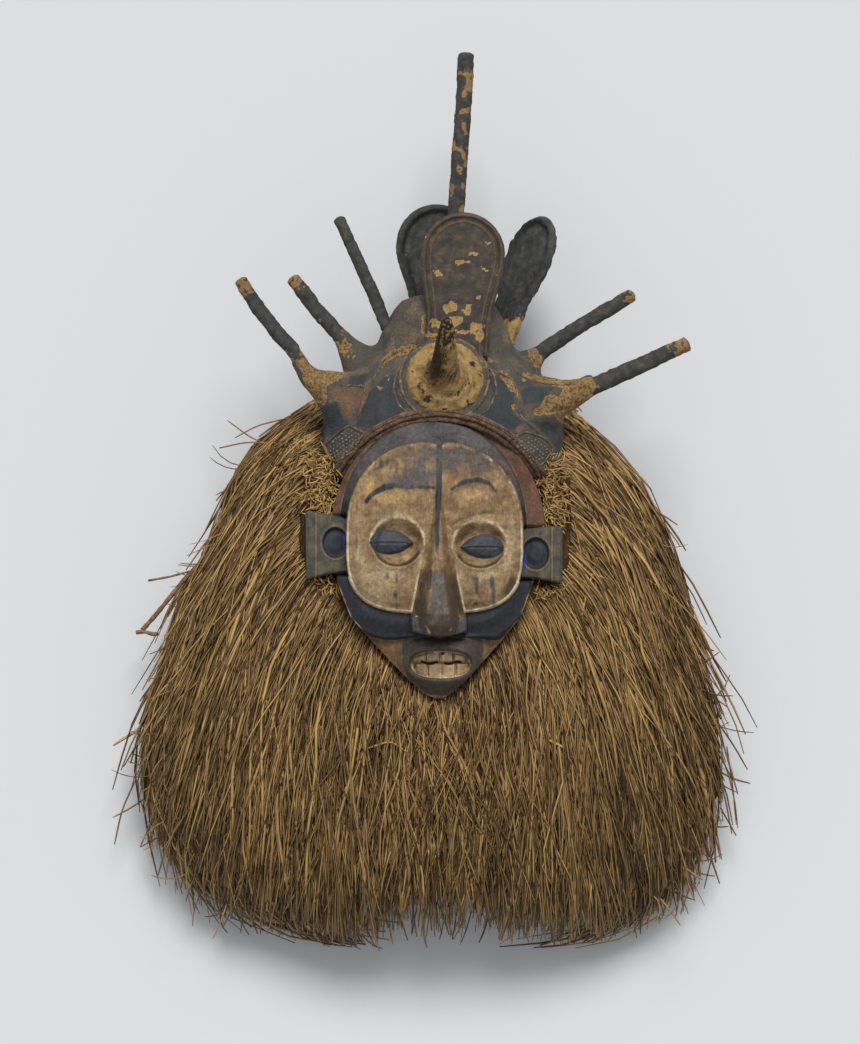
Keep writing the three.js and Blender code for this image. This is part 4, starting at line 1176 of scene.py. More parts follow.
PETALS = [
    {
        "name": "petal_front", "base": (17.5, 118, 160), "lean": -4, "turn": 0, "length": 108.5, "wide": 33,
        "neck": 25.5,
    },
    {
        "name": "petal_left", "base": (3, 143, 94), "lean": 0.5, "turn": 18, "length": 94, "wide": 34.5,
        "neck": 24,
    },
    {
        "name": "petal_right", "base": (53, 132, 96), "lean": -20.5, "turn": -60, "length": 101.5,
        "wide": 33, "neck": 20,
    },
]
petals = {}
for k, petal in enumerate(PETALS):
    obj, q, side, edge = make_paddle(petal["name"], petal)
    seed = 50 + 10 * k
    x, y = q[:, 0], q[:, 1]
    wander = noise3(q, 9, seed)
    fine = noise3(q + side[:, None] * 40, 2.4, seed + 1)
    roll = np.sqrt(np.clip(1 - ((np.minimum(edge, 2.6) - 2.6) / 2.6) ** 2, 0, 1))
    if k == 0:
        rise = 1.6 + 2.9 * np.exp(-(((edge - 2.4) / 1.9) ** 2))
        rise = rise + 1.5 * np.exp(-(((edge - 7.4 - wander * 0.5) / 1.0) ** 2))
        rise = rise + 0.9 * step(7, 12, edge) + 0.35 * wander + 0.22 * fine
        cracks = np.abs(noise3(q * [1, 0.8, 1], 12, seed + 2))
        rise = rise - 0.5 * step(0.06, 0.0, cracks) * step(8, 10, edge)
    else:
        _, up_share = along_line(x, y, [(0, 30), (0, petal["length"] - 30)])
        pucker = np.sin(up_share * 9 + np.arctan2(y - petal["length"] + 34, x) * 9)
        rise = 1.2 + 3.2 * np.exp(-(((edge - 3.6) / 2.7) ** 2))
        rise = rise + 0.6 * pucker * np.exp(-(((edge - 7.5) / 5) ** 2))
        rise = rise + 0.9 * wander + 0.75 * fine + 1.4 * noise3(q * [1, 0.35, 1], 4, seed + 3)
        stitch = np.sin(y * 1.15 + x * 1.15) * np.exp(-(((edge - 6.8) / 1.2) ** 2))
        rise = rise + 0.5 * stitch
    q[:, 2] = side * np.maximum(rise, 0.4) * roll
    wobble = np.exp(-((edge / 3) ** 2)) * 0.35 * fine
    q[:, 0] += np.sign(x) * wobble
    frame_at = Matrix.Translation(petal["base"]) @ Matrix.Rotation(math.radians(petal["lean"]), 4, "Z")
    frame_at = np.array(frame_at @ Matrix.Rotation(math.radians(petal["turn"]), 4, "Y"))
    world_q = q @ frame_at[:3, :3].T + frame_at[:3, 3]
    move_to(obj, world_q)
    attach(obj, "root")
    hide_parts(petal["name"])
    petals[petal["name"]] = (obj, world_q, side, edge, fine)

# Where the front petal has flaked: middle x and y, half width and half height of each patch.
FLAKED = [
    (30, 194, 4.2, 3.4), (23, 187.5, 5.5, 2.2), (17, 190, 3, 1.6), (38, 182.5, 4, 2.2),
    (2.5, 177.5, 3.6, 3.6), (34, 159, 1.6, 1.6), (13, 151, 7, 5.5), (24, 148, 6, 4), (27, 153, 2.6, 1.8),
    (18, 141, 9, 6), (33, 136, 8, 3), (2, 138, 7, 5), (36, 128, 4, 6), (-2, 130, 6, 3), (22, 132, 10, 2.4),
    (39, 168, 1.4, 1.2), (42, 203, 2.2, 1.6),
]
obj, q, side, edge, fine = petals["petal_front"]
torn = noise3(q, 3.4, 81) * 1.9 + noise3(q, 1.3, 82) * 1.5
bare = np.zeros(len(q))
for x, y, wide, tall in FLAKED:
    far = (np.hypot((q[:, 0] - x) / wide, (q[:, 1] - y) / tall) - 0.72) * min(wide, tall)
    bare = np.maximum(bare, step(0.5, -0.5, far + torn))
bare = bare * (side > 0)
bare = np.maximum(bare, 0.8 * step(0.95, 1.2, noise3(q, 8, 83) + 0.6 * fine))
corded = np.exp(-(((edge - 2.2) / 2.0) ** 2)) * 0.65 + 0.95 * np.exp(-(((edge - 7.4) / 0.9) ** 2))
rosy = np.maximum(corded, 0.55 * step(0.3, 0.8, noise3(q * [1, 0.6, 1], 10, 84)))
move_to(obj, q - np.array([0, 0, 1]) * (bare * 0.5 * side)[:, None])
mark(obj, "bare", bare)
mark(obj, "pink", rosy)
mark(obj, "panel", 0.5 * step(0.1, 0.6, noise3(q, 14, 85)))
for name in ("petal_left", "petal_right"):
    obj, q, side, edge, fine = petals[name]
    foot = step(150, 138, q[:, 1] + 3 * fine) * (name == "petal_right")
    scuffed = 0.45 * step(0.9, 1.3, noise3(q, 5, 86) + fine) + 0.35 * step(1.2, 0.3, edge)
    mark(obj, "bare", np.maximum(foot, scuffed))
    mark(obj, "panel", 0.9 * np.exp(-(((edge - 5) / 4) ** 2)) + 0.35 * step(-0.2, 0.5, fine))

# Painted petal cloth is the crown's, browner and finer where it was smoothed by hand.
petal_cloth, tree, shader, at = new_finish("smoothed painted cloth")
weave = add(
    tree, "ShaderNodeTexNoise", {"Vector": at, "Scale": 0.9, "Detail": 5, "Roughness": 0.7}
).outputs[0]
blotch = add(
    tree, "ShaderNodeTexNoise", {"Vector": at, "Scale": 0.11, "Detail": 7, "Roughness": 0.7}
).outputs[0]
speck = add(
    tree, "ShaderNodeTexNoise", {"Vector": at, "Scale": 0.5, "Detail": 5, "Roughness": 0.75}
).outputs[0]
brown = ramp(tree, blotch, [(0.32, "#35312e"), (0.5, "#463f38"), (0.66, "#635544")])
colour = coats(
    tree, brown, speck, blotch,
    [
        ("panel", "#2f2f2e", 0.3, 0.9, 0.4), ("pink", "#6a513a", 0.35, 0.95, 0.6),
        ("bare", "#aa8a57", 0.35, 0.62, 0.45), ("bare", "#59452d", 0.95, 1.4, 2.2),
    ],
)
relief = add(tree, "ShaderNodeMath", {0: weave, 1: speck}, operation="ADD").outputs[0]
finished(tree, shader, colour, 0.66, 0.35, relief, 0.85)
petals["petal_front"][0].data.materials.append(petal_cloth)
dull = petal_cloth.copy()
dull.name = "puckered black cloth"
for node in dull.node_tree.nodes:
    if node.type == "VALTORGB":
        for stop, code in zip(node.color_ramp.elements, ("#2c2d2c", "#3d3d3b", "#55524b")):
            stop.color = hexed(code)
for name in ("petal_left", "petal_right"):
    petals[name][0].data.materials.append(dull)


# Six crooked twigs bound in narrow strips of blackened cloth. The strips overlap in a slow spiral, and
# at the roots and broken tips they have worn away to ochre fibre and bare wood.

# Each stick: its name, the path of its middle, its radius at the root and at the tip, and the shares of its
# length that are bare at the two ends.
STICKS = [
    (
        "stick_left_outer",
        [
            (-96, 92.5, 139), (-103.5, 104.5, 140), (-108, 112, 140.5), (-111.5, 118.5, 141),
            (-124.3, 132.4, 141), (-138.2, 150.4, 141), (-149, 166.5, 141), (-154, 175.2, 141),
        ],
        6.0, 5.4, (0.36, 0.14),
    ),
    (
        "stick_left_middle",
        [
            (-64, 116, 110), (-76.7, 132.7, 110), (-84.9, 142.3, 110), (-94.6, 152.4, 110),
            (-104, 165.5, 110), (-113.8, 178, 110),
        ],
        6.3, 5.6, (0.28, 0.15),
    ),
    (
        "stick_left_inner",
        [
            (-33, 126, 128), (-38.6, 140, 126), (-48.8, 165.2, 122.5), (-57.1, 182.9, 119.5),
            (-67, 205, 116.5), (-76.2, 225.2, 114),
        ],
        5.2, 4.5, (0.12, 0.0),
    ),
    (
        "stick_top",
        [
            (9, 142, 124), (14.6, 200, 124), (18.4, 240, 124), (20.2, 270, 124), (22.4, 300, 124),
            (24.4, 330, 124), (25.6, 355.6, 124),
        ],
        7.1, 6.3, (0.36, 0.0),
    ),
    (
        "stick_right_inner",
        [
            (74, 109, 110), (86.3, 118.5, 110), (102.6, 129.7, 110.5), (122.9, 142.4, 111),
            (144.3, 155.1, 111), (159.8, 164.6, 111),
        ],
        6.5, 5.3, (0.1, 0.1),
    ),
    (
        "stick_right_outer",
        [
            (110, 84, 140), (126.5, 90.2, 140.5), (144.7, 98.1, 141), (166.9, 107.9, 141.5),
            (189.2, 118.5, 142), (202, 124.2, 142),
        ],
        6.9, 6.1, (0.2, 0.16),
    ),
]
# The strips wind up a stick with this much of its length to a turn.
STRIP_PITCH = 7.5
wrap_cloth, tree, shader, at = new_finish("blackened cloth binding")
weave = add(
    tree, "ShaderNodeTexNoise", {"Vector": at, "Scale": 1.0, "Detail": 4, "Roughness": 0.7}
).outputs[0]
blotch = add(
    tree, "ShaderNodeTexNoise", {"Vector": at, "Scale": 0.14, "Detail": 6, "Roughness": 0.7}
).outputs[0]
speck = add(
    tree, "ShaderNodeTexNoise", {"Vector": at, "Scale": 0.5, "Detail": 5, "Roughness": 0.75}
).outputs[0]
black = ramp(tree, blotch, [(0.34, "#2d2e2e"), (0.52, "#3f3e3b"), (0.7, "#5a5349")])
colour = coats(
    tree, black, speck, blotch,
    [
        ("bare", "#8c6e46", 0.35, 0.7, 0.7), ("bare", "#4d3c29", 0.9, 1.25, 2.0),
        ("wood", "#75604a", 0.3, 0.7, 0.4),
    ],
)
finished(tree, shader, colour, 0.8, 0.3, weave, 0.7, 0.0009)
for k, (name, path, thick, thin, worn) in enumerate(STICKS):
    line = even_line(path, 1.0, 2.4)
    count = len(line)
    at_share = np.linspace(0, 1, count)
    uneven = noise3(np.stack([at_share * 200, 0 * at_share, 0 * at_share], 1), 9, 60 + k)
    radii = (thick + (thin - thick) * at_share) * (1 + 0.05 * uneven)
    radii[-1] *= 0.45
    radii[-2] *= 0.82
    stick_bm = bmesh.new()
    tube(stick_bm, line, radii, 30)
    stick = finish_mesh(stick_bm, name + "_bound")
    p = places(stick)
    n = normals(stick)
    away = np.linalg.norm(p[:, None, :] - line[None, ::4, :], axis=2)
    share = away.argmin(axis=1) * 4 / count
    centre = line[np.minimum((share * count).astype(int), count - 1)]
    off_x, off_y, off_z = (p - centre).T
    spiral = share * count / STRIP_PITCH + np.arctan2(off_z, (off_x - off_y) * 0.7) / (2 * math.pi)
    strip = spiral - np.floor(spiral)
    wraps = 0.32 * (1 - strip) ** 2 - 0.3 * np.exp(-((np.minimum(strip, 1 - strip) / 0.06) ** 2))
    ragged = noise3(p, 2.4, 70 + k)
    knots = noise3(p, 6.5, 80 + k)
    tip = step(0.985, 1.0, share)
    if worn[1]:
        tip = step(1 - worn[1] - 0.02, 1 - worn[1] + 0.03, share + 0.05 * ragged)
    root = step(worn[0], worn[0] - 0.12, share + 0.1 * knots + 0.05 * ragged)
    flaked = 0.9 * step(0.95, 1.2, knots + 0.5 * ragged)
    if name == "stick_top":
        mottles = noise3(p * [1, 0.7, 1], 4.2, 95) + 0.5 * knots
        flaked = flaked + 0.85 * step(0.0, 0.5, mottles) * step(0.97, 0.9, share)
    bare = np.maximum(root * 0.95, np.maximum(tip * np.clip(0.72 + 0.6 * ragged, 0, 1), flaked))
    bare = bare * (1 - 0.5 * step(-0.2, -0.8, ragged))
    lift = wraps * (1 - 0.7 * tip) + 0.4 * knots + 0.35 * ragged - 0.45 * bare
    split = noise3(p * [0.3, 0.3, 1], 1.1, 90 + k)
    lift = lift + tip * 0.45 * split
    move_to(stick, p + n * lift[:, None])
    mark(stick, "bare", bare)
    mark(stick, "wood", step(1 - 2.4 / count, 1.0, share))
    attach(stick, "root")
    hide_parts(name)
    stick.data.materials.append(wrap_cloth)


# The raffia bell: thousands of dry split leaves tied under the crown and round the jaw, swept outward and
# down to a ragged hem. A dark matted bed lies under them as painted shade between the strands, so the bell
# reads as one deep, dark mass.
bed = bpy.data.objects.new("raffia_bed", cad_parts["raffia_collar"].data.copy())
bpy.context.scene.collection.objects.link(bed)
solidified(
    bed, ("REMESH", {"mode": "VOXEL", "voxel_size": 0.0072}), ("SMOOTH", {"factor": 0.5, "iterations": 2})
)
bed.data.materials.clear()
bed.data.shade_smooth()
p = places(bed)
matted = noise3(p * [1, 0.16, 1], 5, 101)
p = p + normals(bed) * (-8.5 + 2.6 * matted + 1.2 * noise3(p * [1, 0.3, 1], 2.5, 102))[:, None]
drawn_in = step(-120, -330, p[:, 1])[:, None]
p = p * (1 - drawn_in * [0.07, 0.02, 0.16]) + drawn_in * [0, 22, 1.5]
move_to(bed, np.stack([p[:, 0], p[:, 1], np.maximum(p[:, 2], 1.5)], 1))

# The bell's form: at each height in plan, how far it reaches to the left and right, and how high it is.
BELL_Y = [-400, -358, -341, -320, -308, -276, -227, -178, -130, -81, -32, 16.5, 49, 77, 88, 120]
BELL_LEFT = [60, 98, 154, 192, 202, 221, 237, 233, 216, 205, 178, 164, 143, 106, 90, 70]
BELL_RIGHT = [60, 140, 174, 196, 206, 221, 228, 227, 213, 203, 188, 167, 139, 115, 95, 70]
BELL_ROOF = [70, 76, 90, 102, 106, 120, 142, 160, 167, 166, 164, 158, 146, 126, 100, 90]
BELL_SIDE = 22
BELL_POWER = 2.2
# Strands that would pass the hem's line end within HEM_GIVE of it, and none lies under ABOVE_FLOOR.
HEM_Y = -328
HEM_GIVE = 40
ABOVE_FLOOR = 1.2
numbers = np.random.default_rng(11)


def bell_half(x, y):
    return np.where(x < 0, np.interp(y, BELL_Y, BELL_LEFT), np.interp(y, BELL_Y, BELL_RIGHT))


def laid_on_bell(x, y, depth, looseness):
    """Puts flat paths on the bell's upper side, at a depth under its surface and within its width."""
    half = bell_half(x, y) * (1 + looseness)
    ratio = np.abs(x) / half
    ratio = np.where(ratio < 0.86, ratio, 0.86 + 0.14 * np.tanh((ratio - 0.86) / 0.14))
    round_up = (1 - ratio**BELL_POWER) ** (1 / BELL_POWER)
    z = BELL_SIDE + (np.interp(y, BELL_Y, BELL_ROOF) - BELL_SIDE) * round_up
    x = np.sign(x) * (ratio * half - depth * ratio**2)
    return np.stack([x, y, z - depth * (0.35 + 0.65 * round_up)], 2)


def strands(name, paths, half_widths, tints, limit=2600):
    """Flat tapering strips swept along the paths, in pieces that stay light enough, each with its tint."""
    profile = bpy.data.curves.new("leaf_profile", "CURVE")
    corners = profile.splines.new("POLY")
    corners.points.add(2)
    corners.use_cyclic_u = True
    for point, (u, v) in zip(corners.points, [(-1, -0.25), (1, -0.25), (0, 0.45)]):
        point.co = (u * MM, v * MM, 0, 1)
    profile_obj = bpy.data.objects.new("leaf_profile", profile)
    count = paths.shape[1]
    x, y, z = np.moveaxis(paths, 2, 0)
    low = np.maximum(HEM_Y - y, 0)
    paths = np.stack([x, y + low - HEM_GIVE * np.tanh(low / HEM_GIVE), np.maximum(z, ABOVE_FLOOR)], 2)
    taper = np.interp(np.linspace(0, 1, count), [0, 0.12, 0.85, 1], [0.8, 1, 0.92, 0.55])
    pieces = []
    for part, start in enumerate(range(0, len(paths), limit)):
        curve = bpy.data.curves.new(name, "CURVE")
        curve.dimensions = "3D"
        curve.twist_mode = "Z_UP"
        curve.bevel_mode = "OBJECT"
        curve.bevel_object = profile_obj
        chunk = slice(start, start + limit)
        for path, half in zip(paths[chunk], half_widths[chunk]):
            spline = curve.splines.new("POLY")
            spline.points.add(count - 1)
            spline.points.foreach_set("co", np.column_stack([path * MM, np.ones(count)]).ravel())
            spline.points.foreach_set("radius", taper * half)
        source = bpy.data.objects.new(name, curve)
        bpy.context.scene.collection.objects.link(source)
        mesh = bpy.data.meshes.new_from_object(source.evaluated_get(bpy.context.evaluated_depsgraph_get()))
        bpy.data.objects.remove(source)
        mesh.materials.clear()
        mesh.shade_smooth()
        obj = bpy.data.objects.new(f"{name}_{part + 1}", mesh)
        bpy.context.scene.collection.objects.link(obj)
        each = len(mesh.vertices) // len(tints[chunk])
        mark(obj, "tint", np.repeat(tints[chunk], each))
        mark(obj, "along", np.tile(np.repeat(np.linspace(0, 1, count), each // count), len(tints[chunk])))
        capped = bmesh.new()
        capped.from_mesh(mesh)
        bmesh.ops.holes_fill(capped, edges=[e for e in capped.edges if e.is_boundary], sides=3)
        bmesh.ops.recalc_face_normals(capped, faces=capped.faces)
        capped.to_mesh(mesh)
        capped.free()
        pieces.append(obj)
    bpy.data.objects.remove(profile_obj)
    return pieces


def bezier(p0, p1, p2, p3, t):
    """Cubic paths, one row for each, through the shared steps."""
    parts = [(1 - t) ** 3, 3 * t * (1 - t) ** 2, 3 * t**2 * (1 - t), t**3]
    return sum(w[:, :, None] * q[:, None, :] for w, q in zip(parts, (p0, p1, p2, p3)))


def stretch(paths, start, end, steps):
    """The part of each path between two shares of its length, in that many places."""
    share = (start + (end - start) * np.linspace(0, 1, steps)[None, :]) * (paths.shape[1] - 1)
    low = np.clip(share.astype(int), 0, paths.shape[1] - 2)
    rest = (share - low)[:, :, None]
    rows = np.arange(len(paths))[:, None]
    return paths[rows, low] * (1 - rest) + paths[rows, low + 1] * rest


# Where the bundles are tied, from the left of the crown round the chin to its right: root x, y, height,
# then the hem place x, y where that bundle ends.
TIED = np.array(
    [
        (-84, 88, 92, -214, -104), (-96, 73, 112, -232, -170), (-97, 50, 130, -238, -228),
        (-93, 24, 146, -228, -272), (-97, -8, 150, -212, -302), (-99, -36, 150, -191, -324),
        (-92, -60, 152, -167, -338), (-77, -70, 156, -140, -348), (-67, -88, 157, -104, -358),
        (-47, -113, 157, -74, -350), (-24, -137, 155, -42, -331), (5, -156, 153, 4, -322),
        (31, -137, 155, 40, -324), (54, -113, 157, 74, -334), (70, -88, 157, 106, -344),
        (80, -70, 156, 140, -350), (96, -62, 152, 169, -350), (101, -38, 150, 195, -332),
        (99, -10, 150, 212, -306), (98, 18, 146, 220, -274), (104, 46, 130, 226, -232),
        (103, 72, 112, 222, -176), (94, 88, 94, 206, -110),
    ]
)


def swept(
    clumps, per_clump, depth_range, crossing=16.0, start=(0, 0), length=(0.9, 1.02), steps=11, stand=0.0,
    stray=2.0,
):
    """Clumps of strands from the tied roots to the hem, or parts of them: paths, half widths and tints."""
    place = (np.arange(clumps) + numbers.uniform(0, 1, clumps)) / clumps * (len(TIED) - 1)
    tied = np.stack([np.interp(place, np.arange(len(TIED)), TIED[:, k]) for k in range(5)], 1)
    clump = np.repeat(np.arange(clumps), per_clump)
    count = len(clump)
    t = np.linspace(0, 1, 15)[None, :]
    root = tied[clump, :2] + numbers.normal(0, 1.7, (count, 2))
    tip = tied[clump, 3:] + numbers.normal(0, 1, (clumps, 2))[clump] * [crossing, 13]
    tip = tip + numbers.normal(0, 1, (count, 2)) * [4, 6]
    reach = np.linalg.norm(tip - root, axis=1, keepdims=True)
    away = root - [4, -30]
    away = away / np.linalg.norm(away, axis=1, keepdims=True)
    away[:, 1] -= np.interp(root[:, 1], [-150, -100, -60, 0, 45, 90], [0.15, 0.5, 1.0, 1.15, 1.1, 1.35])
    away[:, 1] += numbers.normal(0, 0.14, count)
    first = root + away * reach * numbers.uniform(0.12, 0.25, (count, 1))
    lean = np.stack([-(tip[:, 0] - root[:, 0]) * 0.17, np.full(count, 0.42) * reach[:, 0]], 1)
    paths = bezier(root, first, tip + lean, tip, t)
    side = np.stack([-np.gradient(paths[:, :, 1], axis=1), np.gradient(paths[:, :, 0], axis=1)], 2)
    side /= np.linalg.norm(side, axis=2, keepdims=True) + 1e-9
    from_middle = numbers.normal(0, 1, (count, 1))
    phase = numbers.uniform(0, 6, (clumps, 1))
    sway = numbers.uniform(0.5, 6, (clumps, 1)) * np.sin(numbers.uniform(4, 12, (clumps, 1)) * t + phase)
    phase = numbers.uniform(0, 6, (count, 1))
    curl = np.where(
        numbers.random((count, 1)) < 0.2, numbers.uniform(2, 6, (count, 1)),
        numbers.uniform(0.2, 1.6, (count, 1)),
    )
    wave = curl * np.sin(numbers.uniform(7, 22, (count, 1)) * t + phase)
    bent = np.cumsum(np.cumsum(numbers.normal(0, 0.16 * stray, (count, 15)), axis=1), axis=1)
    off_line = from_middle * (1.5 + 5.5 * t) + (sway[clump] + wave + bent) * step(0, 0.25, t)
    paths = paths + side * off_line[:, :, None]
    depth = numbers.uniform(*depth_range, clumps)[clump][:, None] * 0.65
    depth = depth + numbers.uniform(*depth_range, (count, 1)) * 0.35
    depth = depth + 1.5 * np.minimum(from_middle**2, 3) * step(0.05, 0.4, t)
    height = numbers.uniform(0.2, 2.6, (count, 1))
    depth = depth + height * np.sin(numbers.uniform(3, 13, (count, 1)) * t + phase)
    depth = depth + 6 * step(0.08, 0, t)
    looseness = numbers.normal(0, 0.02, clumps)[clump][:, None] + numbers.normal(0, 0.01, (count, 1))
    laid = laid_on_bell(paths[:, :, 0], paths[:, :, 1], depth, looseness)
    laid[:, :, 2] += np.minimum(tied[clump, 2][:, None] - laid[:, :, 2], 3) * step(0.14, 0, t)
    begin = numbers.uniform(*start, (count, 1))
    whole = begin + numbers.uniform(*length, (count, 1))
    broken = numbers.random((count, 1)) < 0.22
    end = np.where(broken, begin + (whole - begin) * numbers.uniform(0.4, 0.9, (count, 1)), whole)
    laid = stretch(laid, begin, np.minimum(end, 1.04), steps)
    t = np.linspace(0, 1, steps)[None, :]
    laid[:, :, 2] += stand * t**2 * numbers.uniform(0.2, 1, (count, 1))
    tint = numbers.normal(0, 0.12, clumps)[clump] + numbers.normal(0.53, 0.24, count)
    # Strands lying deeper are coloured darker: dirt and painted shade.
    tint = tint - 0.02 * depth.mean(axis=1)
    return laid, numbers.uniform(0.45, 0.95, count), np.clip(tint, 0, 1)


def turned(layer, spread):
    """The same short strands, each turned in plan about its own start by a random angle."""
    paths, half_widths, tints = layer
    angle = numbers.normal(0, spread, len(paths))[:, None]
    first = paths[:, :1, :2]
    x, y = np.moveaxis(paths[:, :, :2] - first, 2, 0)
    paths = paths.copy()
    paths[:, :, 0] = first[:, :, 0] + x * np.cos(angle) - y * np.sin(angle)
    paths[:, :, 1] = first[:, :, 1] + x * np.sin(angle) + y * np.cos(angle)
    return paths, half_widths, tints


def along_side(count, low, high, depth_range):
    """Strands down the bell's steep flanks, to the floor, on both sides."""
    t = np.linspace(0, 1, 11)[None, :]
    hand = numbers.choice([-1, 1], count)[:, None]
    angle = numbers.uniform(low, high, (count, 1))
    top_y = numbers.uniform(20, 88, (count, 1))
    near_hem = numbers.random((count, 1)) < 0.6
    hem_y = np.where(
        near_hem, numbers.uniform(-322, -240, (count, 1)), numbers.uniform(-240, -60, (count, 1))
    )
    y = top_y + (hem_y - top_y) * t
    drift = angle + 0.12 * numbers.normal(0, 1, (count, 1)) * t
    drift = drift + 0.02 * np.sin(numbers.uniform(5, 20, (count, 1)) * t)
    drift = np.clip(drift, 0.01, math.pi / 2)
    half = bell_half(hand * np.ones_like(y), y) * (1 + numbers.normal(0, 0.014, (count, 1)))
    flat_x = np.cos(drift) ** (2 / BELL_POWER)
    flat_z = np.sin(drift) ** (2 / BELL_POWER)
    z = BELL_SIDE * (0.3 + 0.7 * step(0, 0.25, drift))
    z = z + (np.interp(y, BELL_Y, BELL_ROOF) - BELL_SIDE) * flat_z
    depth = numbers.uniform(*depth_range, (count, 1)) + 8 * step(0.12, 0, t)
    x = half * flat_x - depth * flat_x
    wave = numbers.uniform(0.2, 2.2, (count, 1)) * np.sin(numbers.uniform(7, 22, (count, 1)) * t)
    paths = np.stack([hand * (x + wave), y, np.maximum(z - depth * flat_z * 0.7, 1.5)], 2)
    return paths, numbers.uniform(0.42, 0.85, count), np.clip(numbers.normal(0.42, 0.2, count), 0, 1)


# No flyaway passes this far to either side.
WIDEST = 262


def flyaways(count, steps=6):
    """Loose bits that stand off the silhouette of the bell, mostly low down."""
    t = np.linspace(0, 1, steps)[None, :]
    hand = numbers.choice([-1, 1], count)
    y = -330 + 400 * numbers.beta(1.1, 1.6, count)
    angle = np.radians(numbers.uniform(20, 78, count))
    reach = numbers.uniform(12, 40, count)
    x = hand * bell_half(hand, y) * numbers.uniform(0.88, 0.97, count)
    bend = numbers.normal(0, 0.5, (count, 1)) * t
    out = hand[:, None] * np.cos(angle[:, None] + bend) * reach[:, None] * t
    down = -np.sin(angle[:, None] + bend) * reach[:, None] * t
    z = numbers.uniform(14, 88, count)[:, None] + numbers.normal(0, 7, (count, 1)) * t
    paths = np.stack([np.clip(x[:, None] + out, -WIDEST, WIDEST), y[:, None] + down, z], 2)
    return paths, numbers.uniform(0.3, 0.75, count), np.clip(numbers.normal(0.45, 0.22, count), 0, 1)


def tufts(boxes, each, steps=6):
    """Short frayed ends standing up and out within boxes, each (x, y, half sizes, height, way out)."""
    rows = []
    t = np.linspace(0, 1, steps)
    for x, y, wide, tall, z, out in boxes:
        for _ in range(each):
            way = out + numbers.normal(0, 0.75)
            turn = way + numbers.normal(0, 1.1) * t
            size = numbers.uniform(5, 15)
            foot = numbers.uniform(-1, 1, 2) * (wide, tall)
            along = np.cumsum(np.stack([np.cos(turn), np.sin(turn)], 1), axis=0) * size / steps
            rise = numbers.uniform(1, 6) * np.sin(t * numbers.uniform(1.6, 3.0)) + numbers.uniform(-4, 2)
            rows.append(np.column_stack([x + foot[0] + along[:, 0], y + foot[1] + along[:, 1], z + rise]))
    half_widths = numbers.uniform(0.4, 0.8, len(rows))
    return np.array(rows), half_widths, np.clip(numbers.normal(0.78, 0.24, len(rows)), 0, 1)


def shaped(lines, steps=11):
    """Drawn paths, each list of (x, y, z) resampled to the shared number of steps."""
    rows = []
    for line in lines:
        corners = np.array(line, dtype=float)
        run = np.concatenate([[0], np.cumsum(np.linalg.norm(np.diff(corners, axis=0), axis=1))])
        spots = np.linspace(0, run[-1], steps)
        path = np.stack([np.interp(spots, run, corners[:, k]) for k in range(3)], 1)
        for _ in range(2):
            path[1:-1] = (path[:-2] + 2 * path[1:-1] + path[2:]) / 4
        rows.append(path)
    return np.array(rows)


def on_bell(line, depth=-1.5):
    """Heights on the bell's surface for a line of (x, y)."""
    x, y = np.array(line, dtype=float).T
    return [tuple(q) for q in laid_on_bell(x[None], y[None], np.full((1, len(x)), depth), 0.0)[0]]


# The strands in layers: deep ones, the bell itself, stray crossing ones, flanks, and the under side;
# then short parts whose cut ends show everywhere, the golden fringe at the jaw, and loose bits.
UNDER = 360
under_t = np.linspace(0, 1, 6)[None, :]
under_y = numbers.uniform(40, 80, (UNDER, 1)) + (numbers.uniform(-345, -260, (UNDER, 1)) - 60) * under_t
under_x = numbers.uniform(-0.9, 0.9, (UNDER, 1)) * bell_half(1 + 0 * under_y, under_y) * 0.96
under_x = under_x + 2 * np.sin(numbers.uniform(6, 16, (UNDER, 1)) * under_t)
under = np.stack([under_x, under_y, numbers.uniform(1.5, 5.5, (UNDER, 1)) + 0 * under_t], 2)
long_layers = [
    swept(110, 8, (8, 14)), swept(230, 11, (0, 9)), swept(150, 3, (-2.5, 1), 34),
    along_side(900, 0.02, 0.85, (-0.5, 7)),
]
short_layers = [
    turned(swept(900, 3, (-1.5, 4), 16, (0.12, 0.8), (0.14, 0.4), 6, 4), 0.13),
    turned(swept(300, 4, (0, 7), 10, (0.55, 0.85), (0.16, 0.36), 6, 6), 0.16),
    turned(swept(280, 4, (-1.5, 3), 6, (0, 0.02), (0.06, 0.24), 6, 2), 0.12), flyaways(200),
    (under, numbers.uniform(0.4, 0.8, UNDER), numbers.uniform(0.2, 0.6, UNDER)),
]
raffia = strands("raffia_strands", *[np.concatenate(part) for part in zip(*long_layers)])
raffia += strands("raffia_ends", *[np.concatenate(part) for part in zip(*short_layers)], limit=4800)
leaf_paths, leaf_half, leaf_tint = swept(170, 2, (-1, 4), 18, (0, 0.5), (0.3, 0.9), 9, 1)
leaf_half = numbers.uniform(1.0, 1.8, len(leaf_half))
raffia += strands("raffia_leaves", leaf_paths, leaf_half, np.clip(leaf_tint + 0.2, 0, 1))
# Frayed ends at the temples and beside the jaw.
TUFT_BOXES = [
    (-92, 30, 9, 7, 143, 3.6), (-88, 16, 8, 7, 150, 3.8), (-92, 4, 9, 7, 151, 3.9),
    (-86, -4, 6, 5, 153, 4.2), (-83, 20, 4, 9, 148, 3.6), (-83, 3, 4, 9, 150, 3.9),
    (-82, 31, 4, 5, 144, 3.4), (-80, 12, 3, 8, 145, 3.2), (92, 26, 8, 8, 145, -0.5),
    (93, 10, 8, 8, 150, -0.6), (94, -6, 7, 7, 152, -0.8), (91, -15, 6, 4, 153, -0.9),
    (88, 24, 4, 8, 147, -0.4), (88, 8, 4, 9, 150, -0.6), (87, -8, 4, 9, 151, -0.8),
    (84, 16, 3, 8, 146, -0.3), (-84, -66, 8, 3, 155, 4.1), (88, -68, 8, 3, 155, -0.9),
]
raffia += strands("raffia_tufts", *tufts(TUFT_BOXES, 48))

